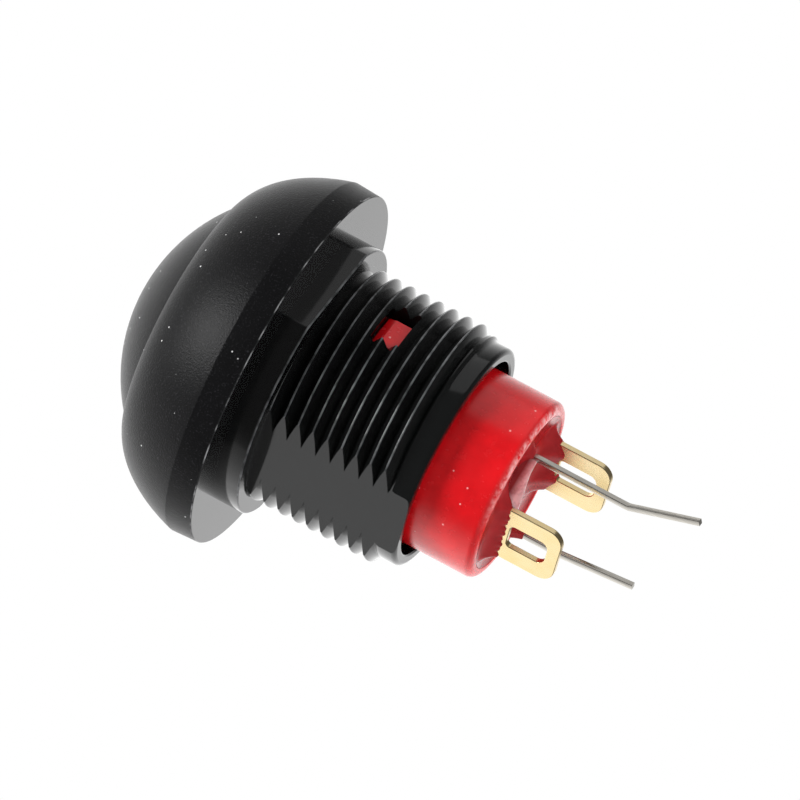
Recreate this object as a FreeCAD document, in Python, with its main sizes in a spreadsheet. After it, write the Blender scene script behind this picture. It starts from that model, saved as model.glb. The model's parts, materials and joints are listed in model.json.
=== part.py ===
import FreeCAD, Part
import math
import os

import Sketcher

# Illuminated push button switch for a round panel hole, in millimetres.
# The panel's front face is at height zero, the button points up and the terminals hang below.
# The thread flats and the two switch terminals face along Y, the latch windows and lamp leads along X.

doc = FreeCAD.newDocument("push_button_switch")
dims = doc.addObject("Spreadsheet::Sheet", "dims")

DRIVING_SIZES = {
    # domed bezel and the collar that centres it in the panel
    "bezel_diameter": 24.0,
    "bezel_height": 6.92,
    "dome_top_angle": 76.0,
    "dome_rim_angle": 26.0,
    "rim_height": 1.75,
    "rim_draft": 0.1,
    "collar_step": 1.05,
    "collar_flat_step": 0.25,
    "collar_depth": 1.6,
    "collar_chamfer": 0.15,
    # threaded bush, built out from the bore that takes the base
    "base_gap": 0.62,
    "bush_wall": 1.4,
    "flat_wall": 0.4,
    "lip_wall": 0.83,
    "lip_chamfer": 0.15,
    "thread_pitch": 1.0,
    "thread_depth": 0.7,
    "thread_start": -0.43,
    "thread_end": 10.5,
    "run_out": 0.3,
    "bush_length": 11.65,
    "window_width": 3.15,
    "window_offset": 0.325,
    "window_start": 4.7,
    "window_height": 1.85,
    # web that guides the stem, with the seal under it
    "web_top": 0.9,
    "web_thickness": 2.1,
    "seal_width": 1.36,
    "seal_height": 1.36,
    "seal_room": 0.15,
    "seal_slack": 0.04,
    "retainer_thickness": 0.5,
    "retainer_clearance": 0.05,
    "retainer_gap": 0.3,
    # moving button
    "travel": 2.0,
    "stop_gap": 0.05,
    "cap_diameter": 16.4,
    "cap_clearance": 0.25,
    "cap_top": 10.23,
    "cap_dome_radius": 11.2,
    "cap_wall": 1.8,
    "crown_wall": 0.82,
    "skirt_gap": 0.7,
    "boss_wall": 1.1,
    "boss_gap": 1.3,
    "lens_diameter": 3.5,
    "lens_length": 2.63,
    "lens_flange": 0.6,
    "fit_clearance": 0.02,
    "stem_diameter": 6.8,
    "stem_clearance": 0.05,
    "spigot_wall": 0.7,
    "spigot_tail": 0.4,
    "flange_diameter": 9.2,
    "flange_thickness": 0.6,
    "bore_clearance": 0.4,
    # springs
    "return_spring_wire": 0.5,
    "return_spring_turns": 5.5,
    "contact_spring_length": 2.0,
    "contact_spring_wire": 0.35,
    "contact_spring_turns": 3.0,
    "contact_spring_gap": 0.3,
    # contact bridge and its clip
    "bridge_thickness": 0.4,
    "bridge_ring": 0.9,
    "bridge_arm": 2.4,
    "clip_thickness": 0.4,
    "clip_bite": 0.3,
    "clip_rim": 0.6,
    "clip_gap": 0.2,
    "clip_mouth": 3.4,
    "contact_diameter": 1.2,
    "contact_height": 0.45,
    "arm_gap": 0.5,
    "closing_gap": 0.05,
    # base cup
    "base_diameter": 11.96,
    "base_reach": 16.05,
    "base_round": 0.5,
    "guide_clearance": 0.1,
    "guide_length": 4.8,
    "guide_taper": 0.5,
    "floor_thickness": 2.0,
    "latch_root": 0.39,
    "latch_reach": 0.7,
    "latch_lead": 0.5,
    "latch_gap": 0.1,
    "slit_width": 0.75,
    "slot_clearance": 0.03,
    # switch terminals
    "terminal_width": 4.2,
    "terminal_thickness": 0.4,
    "terminal_margin": 1.9,
    "terminal_reach": 20.5,
    "terminal_corner": 1.0,
    "eye_width": 1.8,
    "eye_length": 2.6,
    "eye_margin": 0.8,
    "eye_corner": 0.4,
    # lamp and its leads
    "lamp_diameter": 3.0,
    "lamp_rim": 0.1,
    "lamp_rim_height": 0.7,
    "lamp_height": 5.3,
    "lamp_dome": 1.4,
    "lamp_gap": 2.7,
    "lead_size": 0.36,
    "lead_pitch": 2.54,
    "lead_bend": 0.9,
    "lead_spread_gap": 0.7,
    "lead_spread_run": 2.8,
    "right_lead_offset": 3.5,
    "right_lead_bend": 22.8,
    "right_lead_reach": 27.3,
    "right_lead_lean": 1.8,
    "left_lead_offset": 3.2,
    "left_lead_bend": 19.6,
    "left_lead_reach": 24.6,
    "left_lead_lean": -0.58,
    # sealing resin
    "resin_recess": 0.3,
    "resin_climb": 1.1,
    "resin_spread": 0.9,
    "resin_film": 0.08,
}
for row, (alias, size) in enumerate(DRIVING_SIZES.items(), start=1):
    dims.set(f"A{row}", alias)
    dims.set(f"B{row}", str(size))
    dims.setAlias(f"B{row}", alias)
doc.recompute()


# Radii that several pieces share
bezel_radius = "dims.bezel_diameter / 2"
cap_radius = "dims.cap_diameter / 2"
opening_radius = f"({cap_radius} + dims.cap_clearance)"
base_radius = "dims.base_diameter / 2"
rear_bore_radius = f"({base_radius} + dims.base_gap)"
guide_radius = f"({rear_bore_radius} - dims.guide_clearance)"
thread_radius = f"({rear_bore_radius} + dims.bush_wall)"
stem_radius = "dims.stem_diameter / 2"
stem_bore_radius = f"({stem_radius} + dims.stem_clearance)"
seal_pocket_radius = f"({stem_bore_radius} + dims.seal_width + dims.seal_room)"
lamp_rim_radius = "(dims.lamp_diameter / 2 + dims.lamp_rim)"
plunger_bore_radius = f"({lamp_rim_radius} + dims.bore_clearance)"
spigot_radius = f"({plunger_bore_radius} + dims.spigot_wall)"
boss_bore_radius = f"({spigot_radius} + dims.fit_clearance)"
boss_radius = f"({boss_bore_radius} + dims.boss_wall)"
skirt_bore_radius = f"({cap_radius} - dims.cap_wall)"
clip_radius = f"({spigot_radius} + dims.clip_rim)"
contact_offset = f"({clip_radius} + dims.clip_gap + dims.contact_diameter / 2)"
arm_reach = f"({contact_offset} + dims.contact_diameter / 2)"
cup_radius = f"({arm_reach} + dims.arm_gap)"
terminal_offset = f"({cup_radius} - dims.terminal_margin)"

# Heights, stacked down from the stem web to the cup's floor
web_bottom = "(dims.web_top - dims.web_thickness)"
seal_pocket_bottom = f"({web_bottom} - dims.seal_height - dims.seal_slack)"
retainer_bottom = f"({seal_pocket_bottom} - dims.retainer_thickness)"
flange_top = f"({retainer_bottom} - dims.stop_gap)"
flange_bottom = f"({flange_top} - dims.flange_thickness)"
bridge_top = f"({flange_bottom} - dims.contact_spring_length)"
bridge_bottom = f"({bridge_top} - dims.bridge_thickness)"
moving_contact_bottom = f"({bridge_bottom} - dims.contact_height)"
fixed_contact_top = f"({moving_contact_bottom} - dims.travel - dims.closing_gap)"
tab_top = f"({fixed_contact_top} - dims.contact_height)"
floor_top = f"({tab_top} - dims.terminal_thickness)"
floor_bottom = f"({floor_top} - dims.floor_thickness)"
base_end = "(-dims.base_reach)"
resin_level = f"({base_end} + dims.resin_recess)"


def crown_height(radius):
    """Height of the cap's dome at a radius."""
    return f"(dims.cap_top - dims.cap_dome_radius + sqrt(dims.cap_dome_radius ^ 2 - ({radius}) ^ 2))"


# Heights inside the button, up from the stem web and down from the cap's crown
cap_ceiling = f"({crown_height(skirt_bore_radius)} - dims.crown_wall)"
skirt_bottom = "(dims.web_top + dims.travel + dims.skirt_gap)"
boss_bottom = "(dims.web_top + dims.travel + dims.boss_gap)"
lens_flange_top = "(dims.cap_top - dims.lens_length)"
plunger_top = f"({lens_flange_top} - dims.lens_flange)"
lamp_top = f"({plunger_top} - dims.travel - dims.lamp_gap)"
post_top = f"({lamp_top} - dims.lamp_height)"

nodes = []


def value_of(expression):
    """Present size of an expression on the sheet."""
    return float(dims.evalExpression(expression))


def keep(piece, name):
    """Names a finished sub-part and lists it for writing."""
    piece.Label = name
    nodes.append(piece)
    return piece


def origin_feature(body, role):
    """Origin plane or axis of a body, found by its role."""
    return next(feature for feature in body.Origin.OriginFeatures if feature.Role == role)


def new_sketch(body, role, offset=None):
    """Sketch on one of the body's origin planes, moved along the plane's normal by an expression."""
    sketch = body.newObject("Sketcher::SketchObject", f"{body.Name}_sketch")
    sketch.AttachmentSupport = [(origin_feature(body, role), "")]
    sketch.MapMode = "FlatFace"
    if offset is not None:
        sketch.setExpression("AttachmentOffset.Base.z", offset)
    return sketch


def bind_constraint(sketch, constraint, expression):
    """Adds a dimension to a sketch and binds it to an expression."""
    number = sketch.addConstraint(constraint)
    sketch.setExpression(f"Constraints[{number}]", expression)


def hold_point(sketch, geometry, end, across, up):
    """Holds one point of a sketch line at two distances from the sketch's origin."""
    for kind, place in (("DistanceX", across), ("DistanceY", up)):
        constraint = Sketcher.Constraint(kind, -1, 1, geometry, end, value_of(place))
        bind_constraint(sketch, constraint, place)


def arc_between(start, finish, radius, side):
    """Arc from start to finish, with its centre on the left (1) or the right (-1) of the straight way."""
    way = finish - start
    half = way.Length / 2
    left = FreeCAD.Vector(-way.y, way.x, 0).normalize()
    centre = (start + finish) * 0.5 + left * (side * math.sqrt(radius ** 2 - half ** 2))
    first, last = (start, finish) if side > 0 else (finish, start)
    first_angle = math.atan2(first.y - centre.y, first.x - centre.x)
    last_angle = math.atan2(last.y - centre.y, last.x - centre.x)
    circle = Part.Circle(centre, FreeCAD.Vector(0, 0, 1), radius)
    return Part.ArcOfCircle(circle, first_angle, last_angle)


def draw_outline(sketch, corners, arcs=None):
    """Closed outline through corners given as (across, up) expressions.

    arcs gives the round edges: edge number to (radius expression, side of the centre).
    """
    arcs = arcs or {}
    places = [FreeCAD.Vector(value_of(across), value_of(up), 0) for across, up in corners]
    ends = []
    for edge, start in enumerate(places):
        finish = places[(edge + 1) % len(places)]
        if edge in arcs:
            radius, side = arcs[edge]
            geometry = sketch.addGeometry(arc_between(start, finish, value_of(radius), side))
            ends.append((geometry, 1, 2) if side > 0 else (geometry, 2, 1))
            bind_constraint(sketch, Sketcher.Constraint("Radius", geometry, value_of(radius)), radius)
        else:
            geometry = sketch.addGeometry(Part.LineSegment(start, finish))
            ends.append((geometry, 1, 2))
    for edge, (across, up) in enumerate(corners):
        geometry, first, _ = ends[edge]
        before, _, before_last = ends[edge - 1]
        sketch.addConstraint(Sketcher.Constraint("Coincident", before, before_last, geometry, first))
        hold_point(sketch, geometry, first, across, up)


def draw_rectangle(sketch, left, right, low, high):
    """Rectangle between four expressions."""
    draw_outline(sketch, [(left, low), (right, low), (right, high), (left, high)])


def draw_rounded_rectangle(sketch, left, right, low, high, corner):
    """Rectangle between four expressions with round corners."""
    inner_left = f"({left} + {corner})"
    inner_right = f"({right} - {corner})"
    inner_low = f"({low} + {corner})"
    inner_high = f"({high} - {corner})"
    corners = [(inner_left, low), (inner_right, low), (right, inner_low), (right, inner_high),
               (inner_right, high), (inner_left, high), (left, inner_high), (left, inner_low)]
    draw_outline(sketch, corners, {edge: (corner, 1) for edge in (1, 3, 5, 7)})


def draw_circle(sketch, radius):
    """Circle about the sketch's origin."""
    circle = Part.Circle(FreeCAD.Vector(0, 0, 0), FreeCAD.Vector(0, 0, 1), value_of(radius))
    geometry = sketch.addGeometry(circle)
    sketch.addConstraint(Sketcher.Constraint("Coincident", geometry, 3, -1, 1))
    bind_constraint(sketch, Sketcher.Constraint("Radius", geometry, value_of(radius)), radius)


def turned_body(name, section):
    """Body turned about the Z axis from a section of (radius, height) corners."""
    body = doc.addObject("PartDesign::Body", name)
    sketch = new_sketch(body, "XZ_Plane")
    draw_outline(sketch, section)
    turn = body.newObject("PartDesign::Revolution", f"{name}_turn")
    turn.Profile = sketch
    turn.ReferenceAxis = (sketch, ["V_Axis"])
    return body


def pad(body, sketch, length, symmetric=False):
    """Pads a sketch along its normal, or by half to each side."""
    feature = body.newObject("PartDesign::Pad", f"{body.Name}_pad")
    feature.Profile = sketch
    feature.setExpression("Length", length)
    feature.SideType = "Symmetric" if symmetric else "One side"
    return feature


def pocket(body, sketch, length, symmetric=False):
    """Cuts a sketch against its normal, or by half to each side."""
    feature = body.newObject("PartDesign::Pocket", f"{body.Name}_pocket")
    feature.Profile = sketch
    feature.setExpression("Length", length)
    feature.SideType = "Symmetric" if symmetric else "One side"
    return feature


# Bush housing: bezel, collar and threaded bush in one moulding
collar_radius = f"({thread_radius} + dims.collar_step)"
lip_radius = f"({rear_bore_radius} + dims.lip_wall)"
lip_top = "(-(dims.thread_end - dims.run_out))"
sleeve_radius = f"({rear_bore_radius} + dims.flat_wall / 2)"
DOME_STEPS = 5    # a round surface is drawn in straight steps, which keeps its facets few


def dome_corner(step):
    """Corner of the dome's section, on an arc stretched between the opening and the top of the rim."""
    angle = f"(dims.dome_top_angle + (dims.dome_rim_angle - dims.dome_top_angle) * {step} / {DOME_STEPS})"
    across = f"(cos({angle}) - cos(dims.dome_top_angle))"
    down = f"(sin(dims.dome_top_angle) - sin({angle}))"
    full_across = "(cos(dims.dome_rim_angle) - cos(dims.dome_top_angle))"
    full_down = "(sin(dims.dome_top_angle) - sin(dims.dome_rim_angle))"
    return (f"({opening_radius} + ({bezel_radius} - {opening_radius}) * {across} / {full_across})",
            f"(dims.bezel_height + (dims.rim_height - dims.bezel_height) * {down} / {full_down})")


bush_core = turned_body("bush_core", [
    *(dome_corner(step) for step in range(DOME_STEPS + 1)),
    (f"({bezel_radius} - dims.rim_draft)", "0"),
    (collar_radius, "0"),
    (collar_radius, "-(dims.collar_depth - dims.collar_chamfer)"),
    (f"({collar_radius} - dims.collar_chamfer)", "-dims.collar_depth"),
    (sleeve_radius, "-dims.collar_depth"),
    (sleeve_radius, lip_top),
    (lip_radius, lip_top),
    (lip_radius, "-(dims.bush_length - dims.lip_chamfer)"),
    (f"({lip_radius} - dims.lip_chamfer)", "-dims.bush_length"),
    (rear_bore_radius, "-dims.bush_length"),
    (rear_bore_radius, seal_pocket_bottom),
    (seal_pocket_radius, seal_pocket_bottom),
    (seal_pocket_radius, web_bottom),
    (stem_bore_radius, web_bottom),
    (stem_bore_radius, "dims.web_top"),
    (opening_radius, "dims.web_top"),
])

# Flats on the collar, which keep the switch from turning in a hole with two flats
collar_flat_sketch = new_sketch(bush_core, "XY_Plane")
collar_flat = f"({thread_radius} + dims.collar_flat_step)"
for low, high in ((collar_flat, collar_radius), (f"-{collar_radius}", f"-{collar_flat}")):
    draw_rectangle(collar_flat_sketch, low, high, f"-{collar_radius}", collar_radius)
pocket(bush_core, collar_flat_sketch, "dims.collar_depth")

# Thread: a screw round the core, from the middle of the collar to the lip
THREAD_COLUMNS = 24      # flat facets in one turn of the thread
FLAT_FACET = 1e-6        # a facet of less area has shrunk to a line and is left out
SEAM_TOLERANCE = 1e-5    # points this close are one corner


def threaded_sleeve(name, inner, crest, depth, low, high, pitch, first_crest):
    """Sleeve with a right-hand vee thread in flat facets, its crests and roots rising one pitch a turn.

    A crest or root past an end of the sleeve is held there, at the radius that the thread has at that height.
    """
    first_turn = math.floor((low - first_crest) / pitch) - 1
    last_turn = math.ceil((high - first_crest) / pitch)
    points = []
    for column in range(THREAD_COLUMNS + 1):
        angle = 2 * math.pi * column / THREAD_COLUMNS
        rise = first_crest + pitch * column / THREAD_COLUMNS
        section = [(inner, low)]
        for half_turn in range(2 * first_turn, 2 * last_turn + 1):
            height = min(max(rise + half_turn * pitch / 2, low), high)
            place = (height - rise) / pitch
            section.append((crest - 2 * depth * abs(place - round(place)), height))
        section.append((inner, high))
        points += [FreeCAD.Vector(radius * math.cos(angle), radius * math.sin(angle), height)
                   for radius, height in section]
    count = len(section)
    facets = []
    for column in range(THREAD_COLUMNS):
        for corner in range(count):
            near = column * count + corner
            near_next = column * count + (corner + 1) % count
            far, far_next = near + count, near_next + count
            for first, second, third in ((near, far, far_next), (near, far_next, near_next)):
                across = points[second] - points[first]
                if across.cross(points[third] - points[first]).Length > FLAT_FACET:
                    facets.append((first, second, third))
    shell = Part.Shape()
    shell.makeShapeFromMesh((points, facets), SEAM_TOLERANCE)
    sleeve = doc.addObject("Part::Feature", name)
    sleeve.Shape = Part.makeSolid(shell)
    return sleeve


thread = threaded_sleeve(
    "thread",
    value_of(f"({rear_bore_radius} + {sleeve_radius}) / 2"),
    value_of(thread_radius),
    value_of("dims.thread_depth"),
    value_of("-dims.thread_end"),
    value_of("-dims.collar_depth / 2"),
    value_of("dims.thread_pitch"),
    value_of("dims.thread_start"),
)
moulding = doc.addObject("Part::Fuse", "bush_moulding")
moulding.Base = bush_core
moulding.Tool = thread


def block(name, **edges):
    """Upright block between pairs of expressions for x, y and z."""
    box = doc.addObject("Part::Box", name)
    for axis, side in (("x", "Length"), ("y", "Width"), ("z", "Height")):
        low, high = edges[axis]
        box.setExpression(f"Placement.Base.{axis}", low)
        box.setExpression(side, f"{high} - {low}")
    return box


# Flats on the thread, and windows in both sides of the bush for the latches of the base
thread_flat = f"({rear_bore_radius} + dims.flat_wall)"
whole_width = (f"(-{collar_radius})", collar_radius)
below_collar = ("(-dims.bush_length)", "(-dims.collar_depth)")
window_low = "(dims.window_offset - dims.window_width / 2)"
bush_cuts = doc.addObject("Part::MultiFuse", "bush_cuts")
bush_cuts.Shapes = [
    block("front_flat", x=whole_width, y=(f"(-{collar_radius})", f"(-{thread_flat})"), z=below_collar),
    block("rear_flat", x=whole_width, y=(thread_flat, collar_radius), z=below_collar),
    block("windows", x=whole_width, y=(window_low, f"({window_low} + dims.window_width)"),
          z=("(-(dims.window_start + dims.window_height))", "(-dims.window_start)")),
]
bush = doc.addObject("Part::Cut", "bush")
bush.Base = moulding
bush.Tool = bush_cuts
keep(bush, "bush_housing")

# Button cap: domed shell with a skirt that slides in the bezel and a boss for the plunger
lens_radius = "dims.lens_diameter / 2"
lens_bore_radius = f"({lens_radius} + dims.fit_clearance)"
CROWN_STEPS = 3
crown_radii = [f"({lens_bore_radius} + ({cap_radius} - {lens_bore_radius}) * {step} / {CROWN_STEPS})"
               for step in range(CROWN_STEPS + 1)]
keep(turned_body("cap", [
    *((radius, crown_height(radius)) for radius in crown_radii),
    (cap_radius, skirt_bottom),
    (skirt_bore_radius, skirt_bottom),
    (skirt_bore_radius, cap_ceiling),
    (boss_radius, cap_ceiling),
    (boss_radius, boss_bottom),
    (boss_bore_radius, boss_bottom),
    (boss_bore_radius, lens_flange_top),
    (lens_bore_radius, lens_flange_top),
]), "button_cap")

# Light window: clear plug in the middle of the cap, held by its flange on the plunger
keep(turned_body("lens", [
    ("0", plunger_top),
    (spigot_radius, plunger_top),
    (spigot_radius, f"({lens_flange_top} - dims.fit_clearance)"),
    (lens_radius, f"({lens_flange_top} - dims.fit_clearance)"),
    (lens_radius, crown_height(lens_radius)),
    ("0", "dims.cap_top"),
]), "light_window")

# Plunger: hollow stem with a stop flange, a spigot for the cap and one for the contact bridge
clip_bottom = f"({bridge_bottom} - dims.clip_thickness)"
groove_bottom = f"({clip_bottom} - dims.fit_clearance)"
spigot_end = f"({groove_bottom} - dims.spigot_tail)"
clip_groove_radius = f"({spigot_radius} - dims.clip_bite)"
keep(turned_body("plunger", [
    (plunger_bore_radius, plunger_top),
    (plunger_bore_radius, spigot_end),
    (spigot_radius, spigot_end),
    (spigot_radius, groove_bottom),
    (clip_groove_radius, groove_bottom),
    (clip_groove_radius, bridge_bottom),
    (spigot_radius, bridge_bottom),
    (spigot_radius, flange_bottom),
    ("dims.flange_diameter / 2", flange_bottom),
    ("dims.flange_diameter / 2", flange_top),
    (stem_radius, flange_top),
    (stem_radius, boss_bottom),
    (spigot_radius, boss_bottom),
    (spigot_radius, plunger_top),
]), "plunger")

# Stem seal: rubber ring of square section in the pocket under the web
seal_top = f"({web_bottom} - dims.seal_slack / 2)"
seal_bottom = f"({seal_top} - dims.seal_height)"
seal_radius = f"({stem_bore_radius} + dims.seal_width)"
keep(turned_body("seal", [
    (stem_bore_radius, seal_bottom),
    (seal_radius, seal_bottom),
    (seal_radius, seal_top),
    (stem_bore_radius, seal_top),
]), "stem_seal")

# Seal retainer: flat washer clamped between the bush and the base
retainer_hole_radius = f"({stem_radius} + dims.retainer_gap)"
retainer_radius = f"({rear_bore_radius} - dims.retainer_clearance)"
keep(turned_body("retainer", [
    (retainer_hole_radius, retainer_bottom),
    (retainer_radius, retainer_bottom),
    (retainer_radius, seal_pocket_bottom),
    (retainer_hole_radius, seal_pocket_bottom),
]), "seal_retainer")


SPRING_STEPS = 12            # wire sections in one turn
SPRING_SIDES = 5             # flat sides of the wire
SPRING_CLOSED_PITCH = 1.05   # rise of a closed end turn, in wire thicknesses


def coil_spring(name, low, high, mean_radius, wire, turns):
    """Compression spring with closed ends, lofted through one wire section every few degrees.

    Its first and last turns lie wire on wire and the turns between share the rest of the length.
    """
    steps = round(turns * SPRING_STEPS)
    closed = wire * SPRING_CLOSED_PITCH
    rise_ends = low + wire / 2, high - wire / 2
    free_rise = (rise_ends[1] - rise_ends[0] - 2 * closed) / (turns - 2)
    sections = []
    for step in range(steps + 1):
        turn = turns * step / steps
        height = rise_ends[0] + min(turn, 1) * closed
        height += max(0, min(turn, turns - 1) - 1) * free_rise + max(0, turn - turns + 1) * closed
        angle = 2 * math.pi * turn
        corners = []
        for side in range(SPRING_SIDES + 1):
            spin = 2 * math.pi * (side + 0.5) / SPRING_SIDES
            reach = mean_radius + wire / 2 * math.cos(spin)
            corners.append(FreeCAD.Vector(reach * math.cos(angle), reach * math.sin(angle),
                                          height + wire / 2 * math.sin(spin)))
        sections.append(Part.makePolygon(corners))
    spring = doc.addObject("Part::Feature", name)
    spring.Shape = Part.makeLoft(sections, True, True)
    return spring


# Return spring round the stem, between the web and the cap, midway between boss and skirt
keep(coil_spring(
    "return_coil",
    value_of("dims.web_top"),
    value_of(cap_ceiling),
    value_of(f"({boss_radius} + {skirt_bore_radius}) / 2"),
    value_of("dims.return_spring_wire"),
    value_of("dims.return_spring_turns"),
), "return_spring")

# Contact spring that holds the bridge down on its clip
keep(coil_spring(
    "contact_coil",
    value_of(bridge_top),
    value_of(flange_bottom),
    value_of(f"{spigot_radius} + dims.contact_spring_gap + dims.contact_spring_wire / 2"),
    value_of("dims.contact_spring_wire"),
    value_of("dims.contact_spring_turns"),
), "contact_spring")

# Contact bridge: ring on the spigot with an arm over each fixed contact
bridge_hole_radius = f"({spigot_radius} + dims.fit_clearance)"
bridge = doc.addObject("PartDesign::Body", "bridge")
ring_sketch = new_sketch(bridge, "XY_Plane", bridge_bottom)
draw_circle(ring_sketch, f"{bridge_hole_radius} + dims.bridge_ring")
draw_circle(ring_sketch, bridge_hole_radius)
pad(bridge, ring_sketch, "dims.bridge_thickness")
arm_sketch = new_sketch(bridge, "XY_Plane", bridge_bottom)
for low, high in ((f"({bridge_hole_radius} + dims.bridge_ring / 2)", arm_reach),
                  (f"-{arm_reach}", f"-({bridge_hole_radius} + dims.bridge_ring / 2)")):
    draw_rectangle(arm_sketch, "-dims.bridge_arm / 2", "dims.bridge_arm / 2", low, high)
pad(bridge, arm_sketch, "dims.bridge_thickness")
keep(bridge, "contact_bridge")

# Retaining clip: open ring sprung into the groove of the spigot
clip_hole_radius = f"({clip_groove_radius} + dims.fit_clearance)"
clip = doc.addObject("PartDesign::Body", "clip")
clip_sketch = new_sketch(clip, "XY_Plane", clip_bottom)
draw_circle(clip_sketch, clip_radius)
draw_circle(clip_sketch, clip_hole_radius)
pad(clip, clip_sketch, "dims.clip_thickness")
mouth_sketch = new_sketch(clip, "XY_Plane", bridge_bottom)
draw_rectangle(mouth_sketch, "0", clip_radius, "-dims.clip_mouth / 2", "dims.clip_mouth / 2")
pocket(clip, mouth_sketch, "dims.clip_thickness")
keep(clip, "retaining_clip")


def contact_rivet(name, seat, face, offset):
    """Silver contact turned from its seat up or down to its face."""
    radius = "dims.contact_diameter / 2"
    body = turned_body(name, [("0", seat), (radius, seat), (radius, face), ("0", face)])
    body.setExpression("Placement.Base.y", offset)
    return body


# Contacts: one pair under the bridge's arms, one pair on the terminals
for side, offset in (("front", f"-{contact_offset}"), ("rear", contact_offset)):
    moving = contact_rivet(f"moving_{side}", bridge_bottom, moving_contact_bottom, offset)
    keep(moving, f"moving_contact_{side}")
    fixed = contact_rivet(f"fixed_{side}", tab_top, fixed_contact_top, offset)
    keep(fixed, f"fixed_contact_{side}")

# Base: cup with a floor, a lamp post inside, a guide ring and two latches
WALL_SHARE = 0.7     # share of the cup's wall that its round edge may take
RIM_MIDDLE = 45      # angle at which the two steps of the round edge meet
rim_round = f"min(dims.base_round; ({base_radius} - {cup_radius}) * {WALL_SHARE})"
round_inset = f"({rim_round} * (1 - cos({RIM_MIDDLE})))"
guide_bottom = f"({retainer_bottom} - dims.guide_length)"
base = turned_body("base", [
    ("0", floor_bottom),
    (cup_radius, floor_bottom),
    (cup_radius, base_end),
    (f"({base_radius} - {rim_round})", base_end),
    (f"({base_radius} - {round_inset})", f"({base_end} + {round_inset})"),
    (base_radius, f"({base_end} + {rim_round})"),
    (base_radius, f"({guide_bottom} - dims.guide_taper)"),
    (guide_radius, guide_bottom),
    (guide_radius, retainer_bottom),
    (cup_radius, retainer_bottom),
    (cup_radius, floor_top),
    (lamp_rim_radius, floor_top),
    (lamp_rim_radius, post_top),
    ("0", post_top),
])
latch_bottom = "(-(dims.window_start + dims.window_height) + dims.latch_gap)"
latch_root = f"({guide_radius} - dims.latch_root)"
latch_face = f"({guide_radius} + dims.latch_reach)"
latch_half_width = "(dims.window_width / 2 - dims.window_offset - dims.latch_gap)"
latch_sketch = new_sketch(base, "XZ_Plane")
draw_outline(latch_sketch, [
    (latch_root, latch_bottom),
    (latch_face, latch_bottom),
    (latch_face, "-(dims.window_start + dims.latch_gap + dims.latch_lead)"),
    (latch_root, "-(dims.window_start + dims.latch_gap)"),
])
latch = pad(base, latch_sketch, f"2 * {latch_half_width}", symmetric=True)
doc.recompute()
latches = base.newObject("PartDesign::Mirrored", "base_latches")
latches.Originals = [latch]
latches.MirrorPlane = (origin_feature(base, "YZ_Plane"), [""])
base.Tip = latches
doc.recompute()

# Slits that free the latch tongues
slit_sketch = new_sketch(base, "YZ_Plane")
slit_far = f"({latch_half_width} + dims.slit_width)"
for low, high in ((latch_half_width, slit_far), (f"-{slit_far}", f"-{latch_half_width}")):
    draw_rectangle(slit_sketch, low, high, f"({guide_bottom} + dims.guide_taper)", retainer_bottom)
pocket(base, slit_sketch, f"2 * {rear_bore_radius}", symmetric=True)

# Slots in the floor for the terminals, and channels down the post for the lamp's leads
terminal_slot_sketch = new_sketch(base, "XY_Plane", floor_top)
slot_near = f"({terminal_offset} - dims.terminal_thickness / 2 - dims.slot_clearance)"
slot_far = f"({terminal_offset} + dims.terminal_thickness / 2 + dims.slot_clearance)"
slot_half_width = "(dims.terminal_width / 2 + dims.slot_clearance)"
for low, high in ((slot_near, slot_far), (f"-{slot_far}", f"-{slot_near}")):
    draw_rectangle(terminal_slot_sketch, f"-{slot_half_width}", slot_half_width, low, high)
pocket(base, terminal_slot_sketch, "dims.floor_thickness")
channel_sketch = new_sketch(base, "XY_Plane", post_top)
channel_near = "(dims.lead_pitch / 2 - dims.lead_size / 2 - dims.slot_clearance)"
channel_far = f"({lamp_rim_radius} + dims.slot_clearance)"
channel_half_width = "(dims.lead_size / 2 + dims.slot_clearance)"
for left, right in ((channel_near, channel_far), (f"-{channel_far}", f"-{channel_near}")):
    draw_rectangle(channel_sketch, left, right, f"-{channel_half_width}", channel_half_width)
pocket(base, channel_sketch, f"{post_top} - {floor_bottom}")
keep(base, "base")


def terminal(name, plane_offset, tab_low, tab_high):
    """Blade with an eye for a wire, and a tab bent over the floor to carry the fixed contact."""
    body = doc.addObject("PartDesign::Body", name)
    blade_sketch = new_sketch(body, "XZ_Plane", plane_offset)
    half = "dims.terminal_width / 2"
    tip = "-dims.terminal_reach"
    draw_outline(blade_sketch, [
        (f"-{half}", tab_top),
        (f"-{half}", f"({tip} + dims.terminal_corner)"),
        (f"(-{half} + dims.terminal_corner)", tip),
        (f"({half} - dims.terminal_corner)", tip),
        (half, f"({tip} + dims.terminal_corner)"),
        (half, tab_top),
    ], arcs={1: ("dims.terminal_corner", 1), 3: ("dims.terminal_corner", 1)})
    eye_low = f"({tip} + dims.eye_margin)"
    draw_rounded_rectangle(blade_sketch, "-dims.eye_width / 2", "dims.eye_width / 2",
                           eye_low, f"({eye_low} + dims.eye_length)", "dims.eye_corner")
    pad(body, blade_sketch, "dims.terminal_thickness")
    tab_sketch = new_sketch(body, "XY_Plane", floor_top)
    draw_rectangle(tab_sketch, "-dims.bridge_arm / 2", "dims.bridge_arm / 2", tab_low, tab_high)
    pad(body, tab_sketch, "dims.terminal_thickness")
    return body


# Switch terminals: the front one faces -Y, the rear one +Y
inner_face = f"({terminal_offset} - dims.terminal_thickness / 2)"
outer_face = f"({terminal_offset} + dims.terminal_thickness / 2)"
front_terminal = terminal("front_blade", inner_face, f"-{arm_reach}", f"-{inner_face}")
rear_terminal = terminal("rear_blade", f"-{outer_face}", inner_face, arm_reach)
keep(front_terminal, "terminal_front")
keep(rear_terminal, "terminal_rear")

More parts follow.
